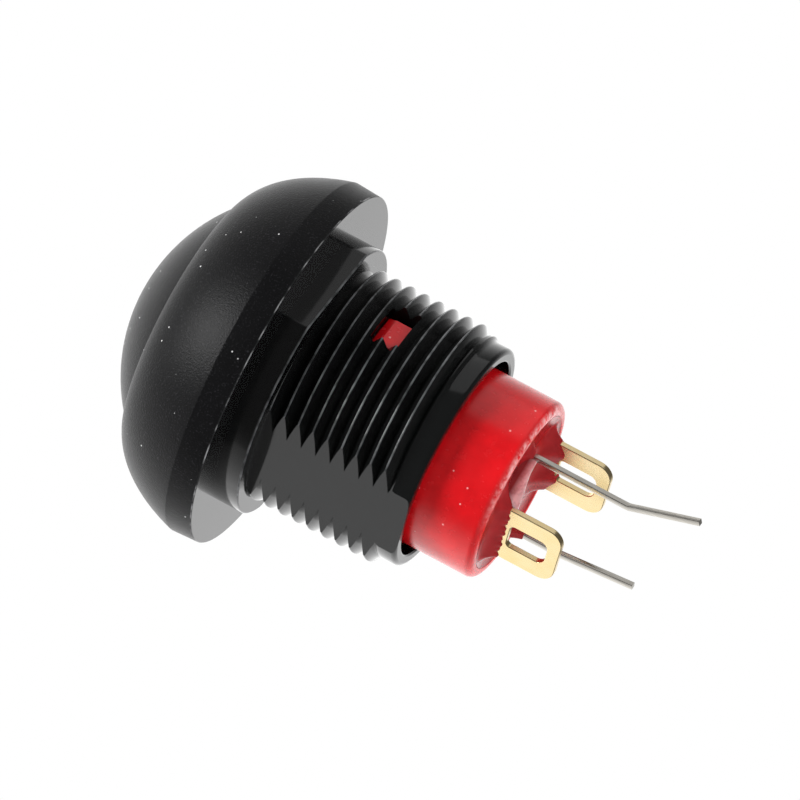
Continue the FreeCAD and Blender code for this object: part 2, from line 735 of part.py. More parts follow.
# Lamp: clear round body with a rim and a domed top, seated on the post
lamp_radius = "dims.lamp_diameter / 2"
lamp_sphere = f"((({lamp_radius}) ^ 2 + dims.lamp_dome ^ 2) / (2 * dims.lamp_dome))"
LAMP_STEPS = 3


def lamp_corner(step):
    """Corner of the lamp's round top, whose depth below the tip grows with the square of the step."""
    depth = f"(dims.lamp_dome * ({step} / {LAMP_STEPS}) ^ 2)"
    return f"sqrt(2 * {lamp_sphere} * {depth} - {depth} ^ 2)", f"({lamp_top} - {depth})"


keep(turned_body("lamp", [
    ("0", post_top),
    (lamp_rim_radius, post_top),
    (lamp_rim_radius, f"({post_top} + dims.lamp_rim_height)"),
    (lamp_radius, f"({post_top} + dims.lamp_rim_height)"),
    *(lamp_corner(step) for step in range(LAMP_STEPS, 0, -1)),
    ("0", lamp_top),
]), "led_lamp")


def draw_bent_path(sketch, corners, bend):
    """Open path of straight runs through corners given as expressions, bent round at each inner one."""
    places = [FreeCAD.Vector(value_of(across), value_of(up), 0) for across, up in corners]
    radius = value_of(bend)
    starts = [places[0]]
    finishes = []
    for before, corner, after in zip(places, places[1:], places[2:]):
        back = (before - corner).normalize()
        ahead = (after - corner).normalize()
        inset = radius / math.tan(back.getAngle(ahead) / 2)
        finishes.append(corner + back * inset)
        starts.append(corner + ahead * inset)
    finishes.append(places[-1])
    runs = [sketch.addGeometry(Part.LineSegment(*ends)) for ends in zip(starts, finishes)]
    hold_point(sketch, runs[0], 1, *corners[0])
    hold_point(sketch, runs[-1], 2, *corners[-1])
    for number, (across, up) in enumerate(corners[1:-1]):
        run, next_run = runs[number], runs[number + 1]
        way = finishes[number] - starts[number]
        turn = way.cross(starts[number + 1] - finishes[number]).z
        side = 1 if turn > 0 else -1
        arc = sketch.addGeometry(arc_between(finishes[number], starts[number + 1], radius, side))
        first, last = (1, 2) if turn > 0 else (2, 1)
        sketch.addConstraint(Sketcher.Constraint("Tangent", run, 2, arc, first))
        sketch.addConstraint(Sketcher.Constraint("Tangent", arc, last, next_run, 1))
        bind_constraint(sketch, Sketcher.Constraint("Radius", arc, radius), bend)
        knee = sketch.addGeometry(Part.Point(places[number + 1]), True)
        hold_point(sketch, knee, 1, across, up)
        sketch.addConstraint(Sketcher.Constraint("PointOnObject", knee, 1, run))
        sketch.addConstraint(Sketcher.Constraint("PointOnObject", knee, 1, next_run))


spread_start = f"({floor_bottom} - dims.lead_spread_gap)"
spread_end = f"({spread_start} - dims.lead_spread_run)"


def lamp_lead(name, side, sizes):
    """Square wire from the lamp down its channel, spread inside the resin and bent outside it."""
    body = doc.addObject("PartDesign::Body", name)
    near = f"{side}dims.lead_pitch / 2"
    out = f"{side}dims.{sizes}_offset"
    path_sketch = new_sketch(body, "XZ_Plane")
    draw_bent_path(path_sketch, [
        (near, post_top),
        (near, spread_start),
        (out, spread_end),
        (out, f"-dims.{sizes}_bend"),
        (f"{side}(dims.{sizes}_offset + dims.{sizes}_lean)", f"-dims.{sizes}_reach"),
    ], "dims.lead_bend")
    section_sketch = new_sketch(body, "XY_Plane", post_top)
    draw_rectangle(section_sketch, f"({near} - dims.lead_size / 2)", f"({near} + dims.lead_size / 2)",
                   "-dims.lead_size / 2", "dims.lead_size / 2")
    pipe = body.newObject("PartDesign::AdditivePipe", f"{name}_pipe")
    pipe.Profile = section_sketch
    pipe.Spine = path_sketch
    return body


# Lamp leads: the right one leaves at +X, the left one at -X
right_lead = lamp_lead("right_wire", "", "right_lead")
left_lead = lamp_lead("left_wire", "-", "left_lead")
keep(right_lead, "led_lead_right")
keep(left_lead, "led_lead_left")

# Sealing resin: fills the cup behind the floor and climbs a little way up both terminals
resin = turned_body("resin_fill", [
    ("0", resin_level),
    (cup_radius, resin_level),
    (cup_radius, floor_bottom),
    ("0", floor_bottom),
])
for name, middle in (("front", f"(-{terminal_offset})"), ("rear", terminal_offset)):
    rings = []
    for drop, spread in (("0", "dims.resin_spread"), ("dims.resin_climb", "dims.resin_film")):
        ring = new_sketch(resin, "XY_Plane", f"{resin_level} - {drop}")
        half_width = f"(dims.terminal_width / 2 + {spread})"
        half_depth = f"(dims.terminal_thickness / 2 + {spread})"
        draw_rounded_rectangle(ring, f"-{half_width}", half_width, f"({middle} - {half_depth})",
                               f"({middle} + {half_depth})", spread)
        rings.append(ring)
    climb = resin.newObject("PartDesign::AdditiveLoft", f"resin_climb_{name}")
    climb.Profile = rings[0]
    climb.Sections = rings[1:]
    climb.Ruled = True
    doc.recompute()
metal = doc.addObject("Part::MultiFuse", "metal_in_resin")
metal.Shapes = [front_terminal, rear_terminal, right_lead, left_lead]
seal_block = doc.addObject("Part::Cut", "resin_block")
seal_block.Base = resin
seal_block.Tool = metal
keep(seal_block, "resin_seal")

# Every object has to be computed and every sub-part sound before anything is written
doc.recompute()
for item in doc.Objects:
    if "Invalid" in item.State or "Error" in item.State:
        raise RuntimeError(f"{item.Label} failed: {item.State}")
os.makedirs("parts", exist_ok=True)
for piece in nodes:
    if piece.Shape.isNull() or not piece.Shape.isValid():
        raise RuntimeError(f"{piece.Label} has no valid shape")
for piece in nodes:
    piece.Shape.exportStep(f"parts/{piece.Label}.step")
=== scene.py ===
import json
import math

import bmesh
import bpy
import numpy as np
from mathutils import Matrix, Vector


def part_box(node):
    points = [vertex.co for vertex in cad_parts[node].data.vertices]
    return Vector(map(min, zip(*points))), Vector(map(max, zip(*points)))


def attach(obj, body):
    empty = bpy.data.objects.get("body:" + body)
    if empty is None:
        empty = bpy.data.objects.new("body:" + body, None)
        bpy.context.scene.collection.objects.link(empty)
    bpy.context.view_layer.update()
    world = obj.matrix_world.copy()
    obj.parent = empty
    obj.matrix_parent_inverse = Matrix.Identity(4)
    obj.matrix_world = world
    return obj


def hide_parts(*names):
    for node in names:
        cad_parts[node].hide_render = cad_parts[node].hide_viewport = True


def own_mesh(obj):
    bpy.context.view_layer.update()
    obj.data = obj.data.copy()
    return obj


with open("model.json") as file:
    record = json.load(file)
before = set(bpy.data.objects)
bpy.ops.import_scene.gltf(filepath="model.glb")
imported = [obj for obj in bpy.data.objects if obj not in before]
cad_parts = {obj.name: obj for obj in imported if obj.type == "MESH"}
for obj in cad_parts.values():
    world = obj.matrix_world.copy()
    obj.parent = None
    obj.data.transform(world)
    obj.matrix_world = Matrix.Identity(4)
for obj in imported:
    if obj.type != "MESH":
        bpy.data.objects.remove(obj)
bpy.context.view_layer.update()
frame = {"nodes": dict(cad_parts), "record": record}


# Bush housing
# The bezel, collar and threaded bush are one injection moulding in glass filled black nylon. The bezel
# is spark textured and matt, while the collar, the thread and the faces behind the panel come off a
# polished tool. Two flats run down the thread and a window in each side takes a latch of the base.
MM = 0.001
bush_low, bush_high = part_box("bush_housing")
panel_bush = next(mount for mount in frame["record"]["mounts"] if mount["name"] == "panel_bush")
BEZEL_RADIUS = bush_high.x / MM
BEZEL_HEIGHT = bush_high.z / MM
BUSH_END = bush_low.z / MM
THREAD_RADIUS = panel_bush["dims"]["r_mm"]
THREAD_PITCH = 1.0
THREAD_DEPTH = 0.7
THREAD_TURNS = 11
THREAD_PHASE = -0.4306  # height of one crest at the +X side, less whole pitches
THREAD_PLACES = np.array([0, 0.024, 0.046, 0.067, 0.27, 0.48, 0.5, 0.52, 0.73, 0.933, 0.954, 0.976])
CREST_OFF = [0, 0.024, 0.046, 0.067, 0.48, 0.5]  # share of a pitch off the crest
CREST_RISE = [1, 0.9947, 0.979, 0.948, 0.03, 0]  # share of the depth that is left there
THREAD_TOP = -1.6
THREAD_BOTTOM = -10.7
RUN_OUT_START = -9.9  # the thread runs out into the plain lip over this stretch
RUN_OUT_END = -10.5
LIP_RADIUS, LIP_ROUND = 7.43, 0.3
REAR_BORE, BORE_ROUND = 6.6, 0.12
SEAL_POCKET = 4.96
STEM_BORE = 3.45
WEB_TOP, WEB_BOTTOM, POCKET_BOTTOM = 0.9, -1.2, -2.6
OPENING_RADIUS, OPENING_ROUND = 8.45, 0.1
RIM_HEIGHT, RIM_ROUND = 1.75, 0.25
RIM_DRAFT, RIM_EDGE_ROUND = 0.1, 0.06
DOME_TOP_ANGLE, DOME_RIM_ANGLE = math.radians(76), math.radians(26)
DOME_STEPS = 22
COLLAR_RADIUS, COLLAR_ROUND = 9.05, 0.1
COLLAR_SHOULDER = 0.5  # reach of the shoulder from the collar's edge to its last station
COLLAR_FLAT = 8.25
THREAD_FLAT = 7.0
WINDOW_LOW, WINDOW_HIGH = -1.25, 1.9
WINDOW_TOP, WINDOW_BOTTOM = -4.7, -6.55
HOUSING_COLUMNS = 288
SQUARE_FACE = 0.99998  # least share of a normal along an axis that makes its face square
CUT_SPARE = 1  # cuts reach this far past the surfaces they open
TEXTURE_START = 0.02  # the spark texture starts this far in front of the panel


def linear_colour(code):
    """sRGB hex code as linear red, green, blue and alpha."""
    shares = np.array([int(code[place:place + 2], 16) for place in (1, 3, 5)]) / 255
    linear = np.where(shares <= 0.04045, shares / 12.92, ((shares + 0.055) / 1.055) ** 2.4)
    return (*linear.tolist(), 1.0)


def add_node(tree, kind, settings=None, links=None):
    """Adds one shader node: settings are its own values or its inputs', links are what feeds its inputs.

    A link holds another node's output, or a node, whose first output is then taken.
    """
    node = tree.nodes.new("ShaderNode" + kind)
    for name, value in (settings or {}).items():
        if isinstance(name, str) and hasattr(node, name):
            setattr(node, name, value)
        else:
            node.inputs[name].default_value = value
    for name, source in (links or {}).items():
        output = source.outputs[0] if isinstance(source, bpy.types.Node) else source
        tree.links.new(output, node.inputs[name])
    return node


def new_material(name):
    """Empty material, its node tree, and the object coordinates that its patterns read."""
    material = bpy.data.materials.new(name)
    material.use_nodes = True
    tree = material.node_tree
    tree.nodes.clear()
    place = add_node(tree, "TexCoord").outputs["Object"]
    return material, tree, place


def show(material, shader):
    """Joins a shader to the material's output and gives the finished material."""
    add_node(material.node_tree, "OutputMaterial", links={"Surface": shader})
    return material


def round_corners(corners, radii, steps=5):
    """Section through corners, each rounded by the arc of its radius that touches both its sides.

    The arc's centre lies on the corner's bisector, radius over the sine of half the corner's angle away,
    and its points turn evenly from one touching point to the other.
    """
    corners = np.asarray(corners, float)
    radii = np.asarray(radii, float)[:, None]
    back = np.roll(corners, 1, axis=0) - corners
    ahead = np.roll(corners, -1, axis=0) - corners
    back /= np.linalg.norm(back, axis=1, keepdims=True)
    ahead /= np.linalg.norm(ahead, axis=1, keepdims=True)
    half = np.arccos(np.clip((back * ahead).sum(1, keepdims=True), -1, 1)) / 2
    bisector = back + ahead
    length = np.linalg.norm(bisector, axis=1, keepdims=True)
    bisector = np.where(length > 1e-9, bisector / np.maximum(length, 1e-9), 0)
    centre = corners + bisector * radii / np.sin(half)
    first = corners + back * radii / np.tan(half) - centre
    last = corners + ahead * radii / np.tan(half) - centre
    turn = (np.pi - 2 * half)[:, None]
    share = np.linspace(0, 1, steps)[None, :, None]
    spread = np.maximum(np.sin(turn), 1e-9)
    arc = np.sin((1 - share) * turn) * first[:, None] + np.sin(share * turn) * last[:, None]
    points = (centre[:, None] + arc / spread).reshape(-1, 2)
    sharp = np.repeat(radii[:, 0] == 0, steps)
    points[sharp] = np.repeat(corners, steps, axis=0)[sharp]
    apart = np.linalg.norm(np.diff(points, axis=0, prepend=points[:1] - 1), axis=1) > 1e-6
    return points[apart]


def new_mesh(name, points, faces):
    """Mesh of points in millimetres and of faces that list their corners."""
    mesh = bpy.data.meshes.new(name)
    mesh.from_pydata((points.reshape(-1, 3) * MM).tolist(), [], faces)
    return mesh


def grid_mesh(name, points, wrap_stations=False, wrap_columns=False):
    """Mesh on a grid of points in millimetres: each quad joins two stations and two columns."""
    stations, columns = points.shape[:2]
    station = np.arange(stations if wrap_stations else stations - 1)[:, None]
    column = np.arange(columns if wrap_columns else columns - 1)[None, :]
    next_station = (station + 1) % stations
    next_column = (column + 1) % columns
    quads = np.stack([station * columns + column, station * columns + next_column,
                      next_station * columns + next_column, next_station * columns + column], axis=-1)
    return new_mesh(name, points, quads.reshape(-1, 4).tolist())


def settle(mesh, sharp_angle=35):
    """Merges a grid's seam and poles, turns its faces outwards and shades it smooth between sharp edges."""
    work = bmesh.new()
    work.from_mesh(mesh)
    bmesh.ops.remove_doubles(work, verts=work.verts, dist=1e-4 * MM)
    bmesh.ops.dissolve_degenerate(work, edges=work.edges, dist=1e-5 * MM)
    bmesh.ops.recalc_face_normals(work, faces=work.faces)
    work.to_mesh(mesh)
    work.free()
    mesh.shade_smooth()
    mesh.set_sharp_from_angle(angle=math.radians(sharp_angle))
    return mesh


def blocks_mesh(name, blocks):
    """One mesh of several upright blocks, each given by two opposite corners in millimetres.

    Each corner of a block is its low corner plus none or all of its size along each axis.
    """
    low, high = np.asarray(blocks, float).transpose(1, 0, 2)[:, :, None]
    share = np.indices((2, 2, 2)).reshape(3, -1).T
    faces = np.array([(0, 1, 3, 2), (4, 6, 7, 5), (0, 4, 5, 1), (2, 3, 7, 6), (0, 2, 6, 4), (1, 5, 7, 3)])
    points = low + share * (high - low)
    quads = faces + len(share) * np.arange(len(blocks))[:, None, None]
    return new_mesh(name, points, quads.reshape(-1, 4).tolist())


def new_object(name, data):
    """Object of a mesh, a lamp or a camera, put in the scene."""
    thing = bpy.data.objects.new(name, data)
    bpy.context.scene.collection.objects.link(thing)
    return thing


def combine(mesh, other, operation):
    """Cuts another mesh out of this one, or joins it on, and gives the resulting mesh."""
    base_object = new_object("work", mesh)
    other_object = new_object("tool", other)
    modifier = base_object.modifiers.new("combine", "BOOLEAN")
    modifier.operation = operation
    modifier.solver = "EXACT"
    modifier.object = other_object
    graph = bpy.context.evaluated_depsgraph_get()
    result = bpy.data.meshes.new_from_object(base_object.evaluated_get(graph))
    bpy.data.objects.remove(base_object)
    bpy.data.objects.remove(other_object)
    return result


def read_all(items, name, width=1, kind=float):
    """One value of all of a mesh's items, as rows of an array."""
    values = np.empty(width * len(items), kind)
    items.foreach_get(name, values)
    return values.reshape(-1, width)


def shade(mesh, sharp_angle=35):
    """Shades a cut mesh smooth between sharp edges, with every edge of a face square to an axis sharp."""
    mesh.shade_smooth()
    mesh.set_sharp_from_angle(angle=math.radians(sharp_angle))
    square = np.abs(read_all(mesh.polygons, "normal", 3)).max(axis=1) > SQUARE_FACE
    sides = read_all(mesh.polygons, "loop_total", kind=int)[:, 0]
    loop_edges = read_all(mesh.loops, "edge_index", kind=int)[:, 0]
    sharp = read_all(mesh.edges, "use_edge_sharp", kind=bool)[:, 0]
    sharp[loop_edges[np.repeat(square, sides)]] = True
    mesh.edges.foreach_set("use_edge_sharp", sharp)


def new_piece(name, mesh, material, body, slot, *nodes):
    """Object of a finished mesh that rides a body, takes a material and stands for CAD nodes, which it
    hides; its slot is not used.
    """
    piece = new_object(name, mesh)
    mesh.materials.clear()
    mesh.materials.append(material)
    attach(piece, body)
    if nodes:
        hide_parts(*nodes)
    return piece


def thread_points(angle):
    """Radius and height over the thread's stations and the given angles.

    Each station keeps its place in the thread's section while its height rises one pitch a turn. The
    height is held between the collar and the lip, and the radius then comes from the section at that
    height: a narrow round crest, straight flanks and a nearly sharp root. It fades into the lip at its end.
    """
    turns = np.arange(1, THREAD_TURNS + 1)[:, None] + THREAD_PLACES[None, :]
    rise = THREAD_PHASE + THREAD_PITCH * angle / (2 * np.pi)
    height = np.clip(rise - THREAD_PITCH * turns.reshape(-1, 1), THREAD_BOTTOM, THREAD_TOP)
    place = (rise - height) / THREAD_PITCH
    share = np.interp(np.abs(place - np.round(place)), CREST_OFF, CREST_RISE)
    radius = THREAD_RADIUS - THREAD_DEPTH * (1 - share)
    fade = np.clip((RUN_OUT_START - height) / (RUN_OUT_START - RUN_OUT_END), 0, 1)
    fade = fade * fade * (3 - 2 * fade)
    return radius * (1 - fade) + LIP_RADIUS * fade, height


def housing_points(columns):
    """Grid round the housing's section: the thread's stations, then the lip, bore, chamber, dome and collar.

    The dome is an arc of an ellipse between the opening and the rim. On the collar the radius is held to
    the collar's flats, each station as far inside the flat as it lies inside the full round.
    """
    angle = np.linspace(0, 2 * np.pi, columns + 1)[None, :]
    turn = np.linspace(DOME_TOP_ANGLE, DOME_RIM_ANGLE, DOME_STEPS)
    top_cos, top_sin = math.cos(DOME_TOP_ANGLE), math.sin(DOME_TOP_ANGLE)
    across = (np.cos(turn) - top_cos) / (math.cos(DOME_RIM_ANGLE) - top_cos)
    down = (top_sin - np.sin(turn)) / (top_sin - math.sin(DOME_RIM_ANGLE))
    dome = np.stack([OPENING_RADIUS + (BEZEL_RADIUS - OPENING_RADIUS) * across,
                     BEZEL_HEIGHT + (RIM_HEIGHT - BEZEL_HEIGHT) * down], axis=-1)
    rear = [(LIP_RADIUS, THREAD_BOTTOM), (LIP_RADIUS, BUSH_END), (REAR_BORE, BUSH_END),
            (REAR_BORE, POCKET_BOTTOM), (SEAL_POCKET, POCKET_BOTTOM), (SEAL_POCKET, WEB_BOTTOM),
            (STEM_BORE, WEB_BOTTOM), (STEM_BORE, WEB_TOP), (OPENING_RADIUS, WEB_TOP)]
    rear_radii = [0, LIP_ROUND, BORE_ROUND, 0, 0, 0, 0, 0, 0]
    front = [*dome.tolist(), (BEZEL_RADIUS - RIM_DRAFT, 0), (COLLAR_RADIUS, 0),
             (COLLAR_RADIUS, THREAD_TOP), (COLLAR_RADIUS - COLLAR_SHOULDER, THREAD_TOP)]
    front_radii = [OPENING_ROUND] + [0] * (DOME_STEPS - 2) + [RIM_ROUND, RIM_EDGE_ROUND, 0, COLLAR_ROUND, 0]
    section = round_corners(rear + front, rear_radii + front_radii)
    radius = section[:, :1] + 0 * angle
    height = section[:, 1:] + 0 * angle
    behind_bezel = (height <= 0) & (height >= THREAD_TOP)
    on_collar = behind_bezel & (radius > THREAD_RADIUS) & (radius <= COLLAR_RADIUS)
    flat = (COLLAR_FLAT - COLLAR_RADIUS + radius) / np.maximum(np.abs(np.cos(angle)), 1e-6)
    radius = np.where(on_collar, np.minimum(radius, flat), radius)
    thread_radius, thread_height = thread_points(angle)
    radius = np.concatenate([thread_radius, radius])
    height = np.concatenate([thread_height, height])
    return np.stack([radius * np.cos(angle), radius * np.sin(angle), height], axis=-1)


def textured_nylon():
    """Black nylon off a spark-textured tool: matt, with glints painted on the peaks of its grain, white dust
    and a pale edge.

    The edge is the flash left along the rear of the rim with a painted edge highlight on it, broken by a
    noise. Sizes are in millimetres.
    """
    material, tree, place = new_material("spark_textured_black_nylon")
    grain_size = 0.11  # a little coarser than the real grain so that it shows
    grain_depth = 0.03
    cloud_size = 4.0
    dust_spacing, dust_radius = 0.85, 0.055
    flash_highlight_top, flash_highlight_full, flash_highlight_break = 0.1, 0.05, 1.1
    dark, light, glint_grey = map(linear_colour, ("#0a0a0b", "#131314", "#2a2a2c"))
    pale_flash_highlight, white_dust = map(linear_colour, ("#a4a4a6", "#c4c4c5"))
    grain = add_node(tree, "TexNoise", {"Scale": 1 / (grain_size * MM), "Detail": 3.0}, {"Vector": place})
    cloud = add_node(tree, "TexNoise", {"Scale": 1 / (cloud_size * MM), "Detail": 3.0}, {"Vector": place})
    dust = add_node(tree, "TexVoronoi", {"Scale": 1 / (dust_spacing * MM)}, {"Vector": place})
    speck = add_node(tree, "Math", {"operation": "LESS_THAN", 1: dust_radius / dust_spacing},
                     {0: dust.outputs["Distance"]})
    chosen = add_node(tree, "SeparateColor", links={"Color": dust.outputs["Color"]})
    few = add_node(tree, "Math", {"operation": "GREATER_THAN", 1: 0.5}, {0: chosen})
    dusty = add_node(tree, "Math", {"operation": "MULTIPLY"}, {0: speck, 1: few})
    tone = add_node(tree, "Mix", {"data_type": "RGBA", 6: dark, 7: light}, {0: cloud})
    # painted glints: the grain's peaks are coloured lighter, as where they catch the light
    glint_peak = add_node(tree, "MapRange", {"From Min": 0.58, "From Max": 0.75}, {"Value": grain})
    tone = add_node(tree, "Mix", {"data_type": "RGBA", 7: glint_grey}, {0: glint_peak, 6: tone.outputs[2]})
    height = add_node(tree, "SeparateXYZ", links={0: place}).outputs["Z"]
    # pale line along the rim's rear edge: partly moulding flash, partly a painted edge highlight
    flash_and_highlight = add_node(tree, "MapRange", {"From Min": flash_highlight_top * MM, "From Max": flash_highlight_full * MM},
                     {"Value": height})
    broken = add_node(tree, "TexNoise", {"Scale": 1 / (flash_highlight_break * MM), "Detail": 4.0}, {"Vector": place})
    broken = add_node(tree, "MapRange", {"From Min": 0.48, "From Max": 0.72, "To Min": 0.03},
                      {"Value": broken})
    flash_and_highlight = add_node(tree, "Math", {"operation": "MULTIPLY"}, {0: flash_and_highlight, 1: broken})
    tone = add_node(tree, "Mix", {"data_type": "RGBA", 7: pale_flash_highlight}, {0: flash_and_highlight, 6: tone.outputs[2]})
    tone = add_node(tree, "Mix", {"data_type": "RGBA", 7: white_dust}, {0: dusty, 6: tone.outputs[2]})
    rough = add_node(tree, "MapRange", {"To Min": 0.3, "To Max": 0.4}, {"Value": cloud})
    bump = add_node(tree, "Bump", {"Distance": grain_depth * MM, "Strength": 0.8}, {"Height": grain})
    shader = add_node(tree, "BsdfPrincipled", {"IOR": 1.53, "Specular IOR Level": 0.075},
                      {"Base Color": tone.outputs[2], "Roughness": rough, "Normal": bump})
    return show(material, shader)


def polished_nylon():
    """Black nylon off a polished tool: nearly a mirror, with grey highlights painted on the crests and the
    collar's edge.

    The painted highlight lies on a face where its radius reaches the crest and its height is at the collar's
    rear edge or below, but not on the collar's shoulder. Sizes are in millimetres.
    """
    material, tree, place = new_material("polished_black_nylon")
    cloud_size, streak_size = 4.0, 0.8
    crest_start, crest_full = THREAD_RADIUS - 0.045, THREAD_RADIUS - 0.01
    edge_start, edge_full = THREAD_TOP + 0.14, THREAD_TOP + 0.06
    shoulder_height, shoulder_foot = THREAD_TOP + 0.005, THREAD_RADIUS + 0.004
    dark, light, crest_highlight_grey = map(linear_colour, ("#0a0b0b", "#141515", "#626365"))
    cloud = add_node(tree, "TexNoise", {"Scale": 1 / (cloud_size * MM), "Detail": 3.0}, {"Vector": place})
    tone = add_node(tree, "Mix", {"data_type": "RGBA", 6: dark, 7: light}, {0: cloud})
    height = add_node(tree, "SeparateXYZ", links={0: place}).outputs["Z"]
    plan = add_node(tree, "VectorMath", {"operation": "MULTIPLY", 1: (1, 1, 0)}, {0: place})
    radius = add_node(tree, "VectorMath", {"operation": "LENGTH"}, {0: plan}).outputs["Value"]
    crest = add_node(tree, "MapRange", {"From Min": crest_start * MM, "From Max": crest_full * MM},
                     {"Value": radius})
    below = add_node(tree, "MapRange", {"From Min": edge_start * MM, "From Max": edge_full * MM},
                     {"Value": height})
    streak = add_node(tree, "TexNoise", {"Scale": 1 / (streak_size * MM), "Detail": 4.0}, {"Vector": place})
    streak = add_node(tree, "MapRange", {"From Min": 0.35, "From Max": 0.65, "To Min": 0.2},
                      {"Value": streak})
    above = add_node(tree, "Math", {"operation": "GREATER_THAN", 1: shoulder_height * MM}, {0: height})
    inside = add_node(tree, "Math", {"operation": "LESS_THAN", 1: shoulder_foot * MM}, {0: radius})
    off_shoulder = add_node(tree, "Math", {"operation": "MAXIMUM"}, {0: above, 1: inside})
    # painted highlight: grey on the crests and the collar's rear edge stands in for their glint
    crest_highlight = crest
    for limit in (below, off_shoulder, streak):
        crest_highlight = add_node(tree, "Math", {"operation": "MULTIPLY"}, {0: crest_highlight, 1: limit})
    tone = add_node(tree, "Mix", {"data_type": "RGBA", 7: crest_highlight_grey}, {0: crest_highlight, 6: tone.outputs[2]})
    rough = add_node(tree, "MapRange", {"To Min": 0.06, "To Max": 0.15}, {"Value": cloud})
    shader = add_node(tree, "BsdfPrincipled", {"IOR": 1.53, "Specular IOR Level": 0.4},
                      {"Base Color": tone.outputs[2], "Roughness": rough})
    return show(material, shader)


nylon = textured_nylon()
housing_mesh = settle(grid_mesh("bush_housing_form", housing_points(HOUSING_COLUMNS), wrap_stations=True))
flat_reach = THREAD_RADIUS + CUT_SPARE
flat_end = BUSH_END - CUT_SPARE
housing_mesh = combine(housing_mesh, blocks_mesh("housing_cuts", [
    ((-flat_reach, THREAD_FLAT, flat_end), (flat_reach, flat_reach, THREAD_TOP)),
    ((-flat_reach, -flat_reach, flat_end), (flat_reach, -THREAD_FLAT, THREAD_TOP)),
    ((-flat_reach, WINDOW_LOW, WINDOW_BOTTOM), (flat_reach, WINDOW_HIGH, WINDOW_TOP)),
]), "DIFFERENCE")
shade(housing_mesh)
new_piece("housing_moulding", housing_mesh, nylon, "housing", "black_nylon", "bush_housing")
housing_mesh.materials.append(polished_nylon())
behind_panel = read_all(housing_mesh.polygons, "center", 3)[:, 2] < TEXTURE_START * MM
housing_mesh.polygons.foreach_set("material_index", behind_panel.astype(np.int32))


# Button cap
# A domed cap in the same nylon and spark texture slides in the opening of the bezel. Its skirt runs in the
# chamber, and a boss inside it is pressed over the top of the plunger.
cap_low, cap_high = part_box("button_cap")
lens_low, lens_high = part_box("light_window")
CAP_RADIUS = cap_high.x / MM
CAP_TOP = lens_high.z / MM
CAP_DOME = 11.2
CAP_STEPS = 18
CAP_EDGE_ROUND, SKIRT_ROUND, LENS_BORE_ROUND = 0.3, 0.1, 0.08
SKIRT_BOTTOM = cap_low.z / MM
SKIRT_BORE = 6.4
CAP_CEILING = 7.4
BOSS_RADIUS, BOSS_BORE, BOSS_BOTTOM = 3.82, 2.72, 4.2
LENS_SEAT = 7.6
LENS_BORE = 1.77
ROUND_COLUMNS = 240


def crown_height(radius):
    """Height of the cap's round crown at a radius, on a sphere about the Z axis."""
    return CAP_TOP - CAP_DOME + np.sqrt(CAP_DOME ** 2 - np.asarray(radius) ** 2)


def turned_points(section, columns):
    """Section of radius and height turned about the Z axis: x = radius cos(angle), y = radius sin(angle)."""
    angle = np.linspace(0, 2 * np.pi, columns + 1)[None, :]
    radius, height = section[:, :1], section[:, 1:]
    return np.stack([radius * np.cos(angle), radius * np.sin(angle), height + 0 * angle], axis=-1)


crown_radius = np.linspace(LENS_BORE, CAP_RADIUS, CAP_STEPS)
cap_corners = [*zip(crown_radius, crown_height(crown_radius)), (CAP_RADIUS, SKIRT_BOTTOM),
               (SKIRT_BORE, SKIRT_BOTTOM), (SKIRT_BORE, CAP_CEILING), (BOSS_RADIUS, CAP_CEILING),
               (BOSS_RADIUS, BOSS_BOTTOM), (BOSS_BORE, BOSS_BOTTOM), (BOSS_BORE, LENS_SEAT),
               (LENS_BORE, LENS_SEAT)]
cap_radii = [LENS_BORE_ROUND] + [0] * (CAP_STEPS - 2) + [CAP_EDGE_ROUND, SKIRT_ROUND] + [0] * 7
cap_section = round_corners(cap_corners, cap_radii)
cap_points = turned_points(cap_section, ROUND_COLUMNS)
cap_mesh = settle(grid_mesh("button_cap_form", cap_points, wrap_stations=True))
new_piece("cap_moulding", cap_mesh, nylon, "button", "black_nylon", "button_cap")


# Light window
# A clear plug of moulded polycarbonate in the middle of the cap lets the lamp show. Its flange is held
# between the cap and the top of the plunger, and its face follows the cap's crown.
LENS_RADIUS, LENS_ROUND = 1.75, 0.06
LENS_STEPS, LENS_COLUMNS = 8, 96
LENS_FLANGE = lens_high.x / MM
LENS_BOTTOM = lens_low.z / MM
LENS_SHOULDER = 7.58
face_radius = np.linspace(0, LENS_RADIUS, LENS_STEPS)
lens_corners = [*zip(face_radius, crown_height(face_radius)), (LENS_RADIUS, LENS_SHOULDER),
                (LENS_FLANGE, LENS_SHOULDER), (LENS_FLANGE, LENS_BOTTOM), (0, LENS_BOTTOM)]
lens_section = round_corners(lens_corners, [0] * (LENS_STEPS - 1) + [LENS_ROUND] + [0] * 4)
lens_mesh = settle(grid_mesh("light_window_form", turned_points(lens_section, LENS_COLUMNS)))


def clear_polycarbonate():
    """Moulded clear polycarbonate: nearly water clear, with faint flow marks in its gloss."""
    material, tree, place = new_material("clear_polycarbonate")
    flow_size = 0.6  # millimetres
    flow = add_node(tree, "TexNoise", {"Scale": 1 / (flow_size * MM), "Detail": 2.0}, {"Vector": place})
    rough = add_node(tree, "MapRange", {"To Min": 0.04, "To Max": 0.12}, {"Value": flow})
    shader = add_node(tree, "BsdfPrincipled",
                      {"Base Color": linear_colour("#eef0f0"), "IOR": 1.58, "Transmission Weight": 1.0},
                      {"Roughness": rough})
    return show(material, shader)


polycarbonate = clear_polycarbonate()
new_piece("light_window_plug", lens_mesh, polycarbonate, "button", "clear_polycarbonate", "light_window")


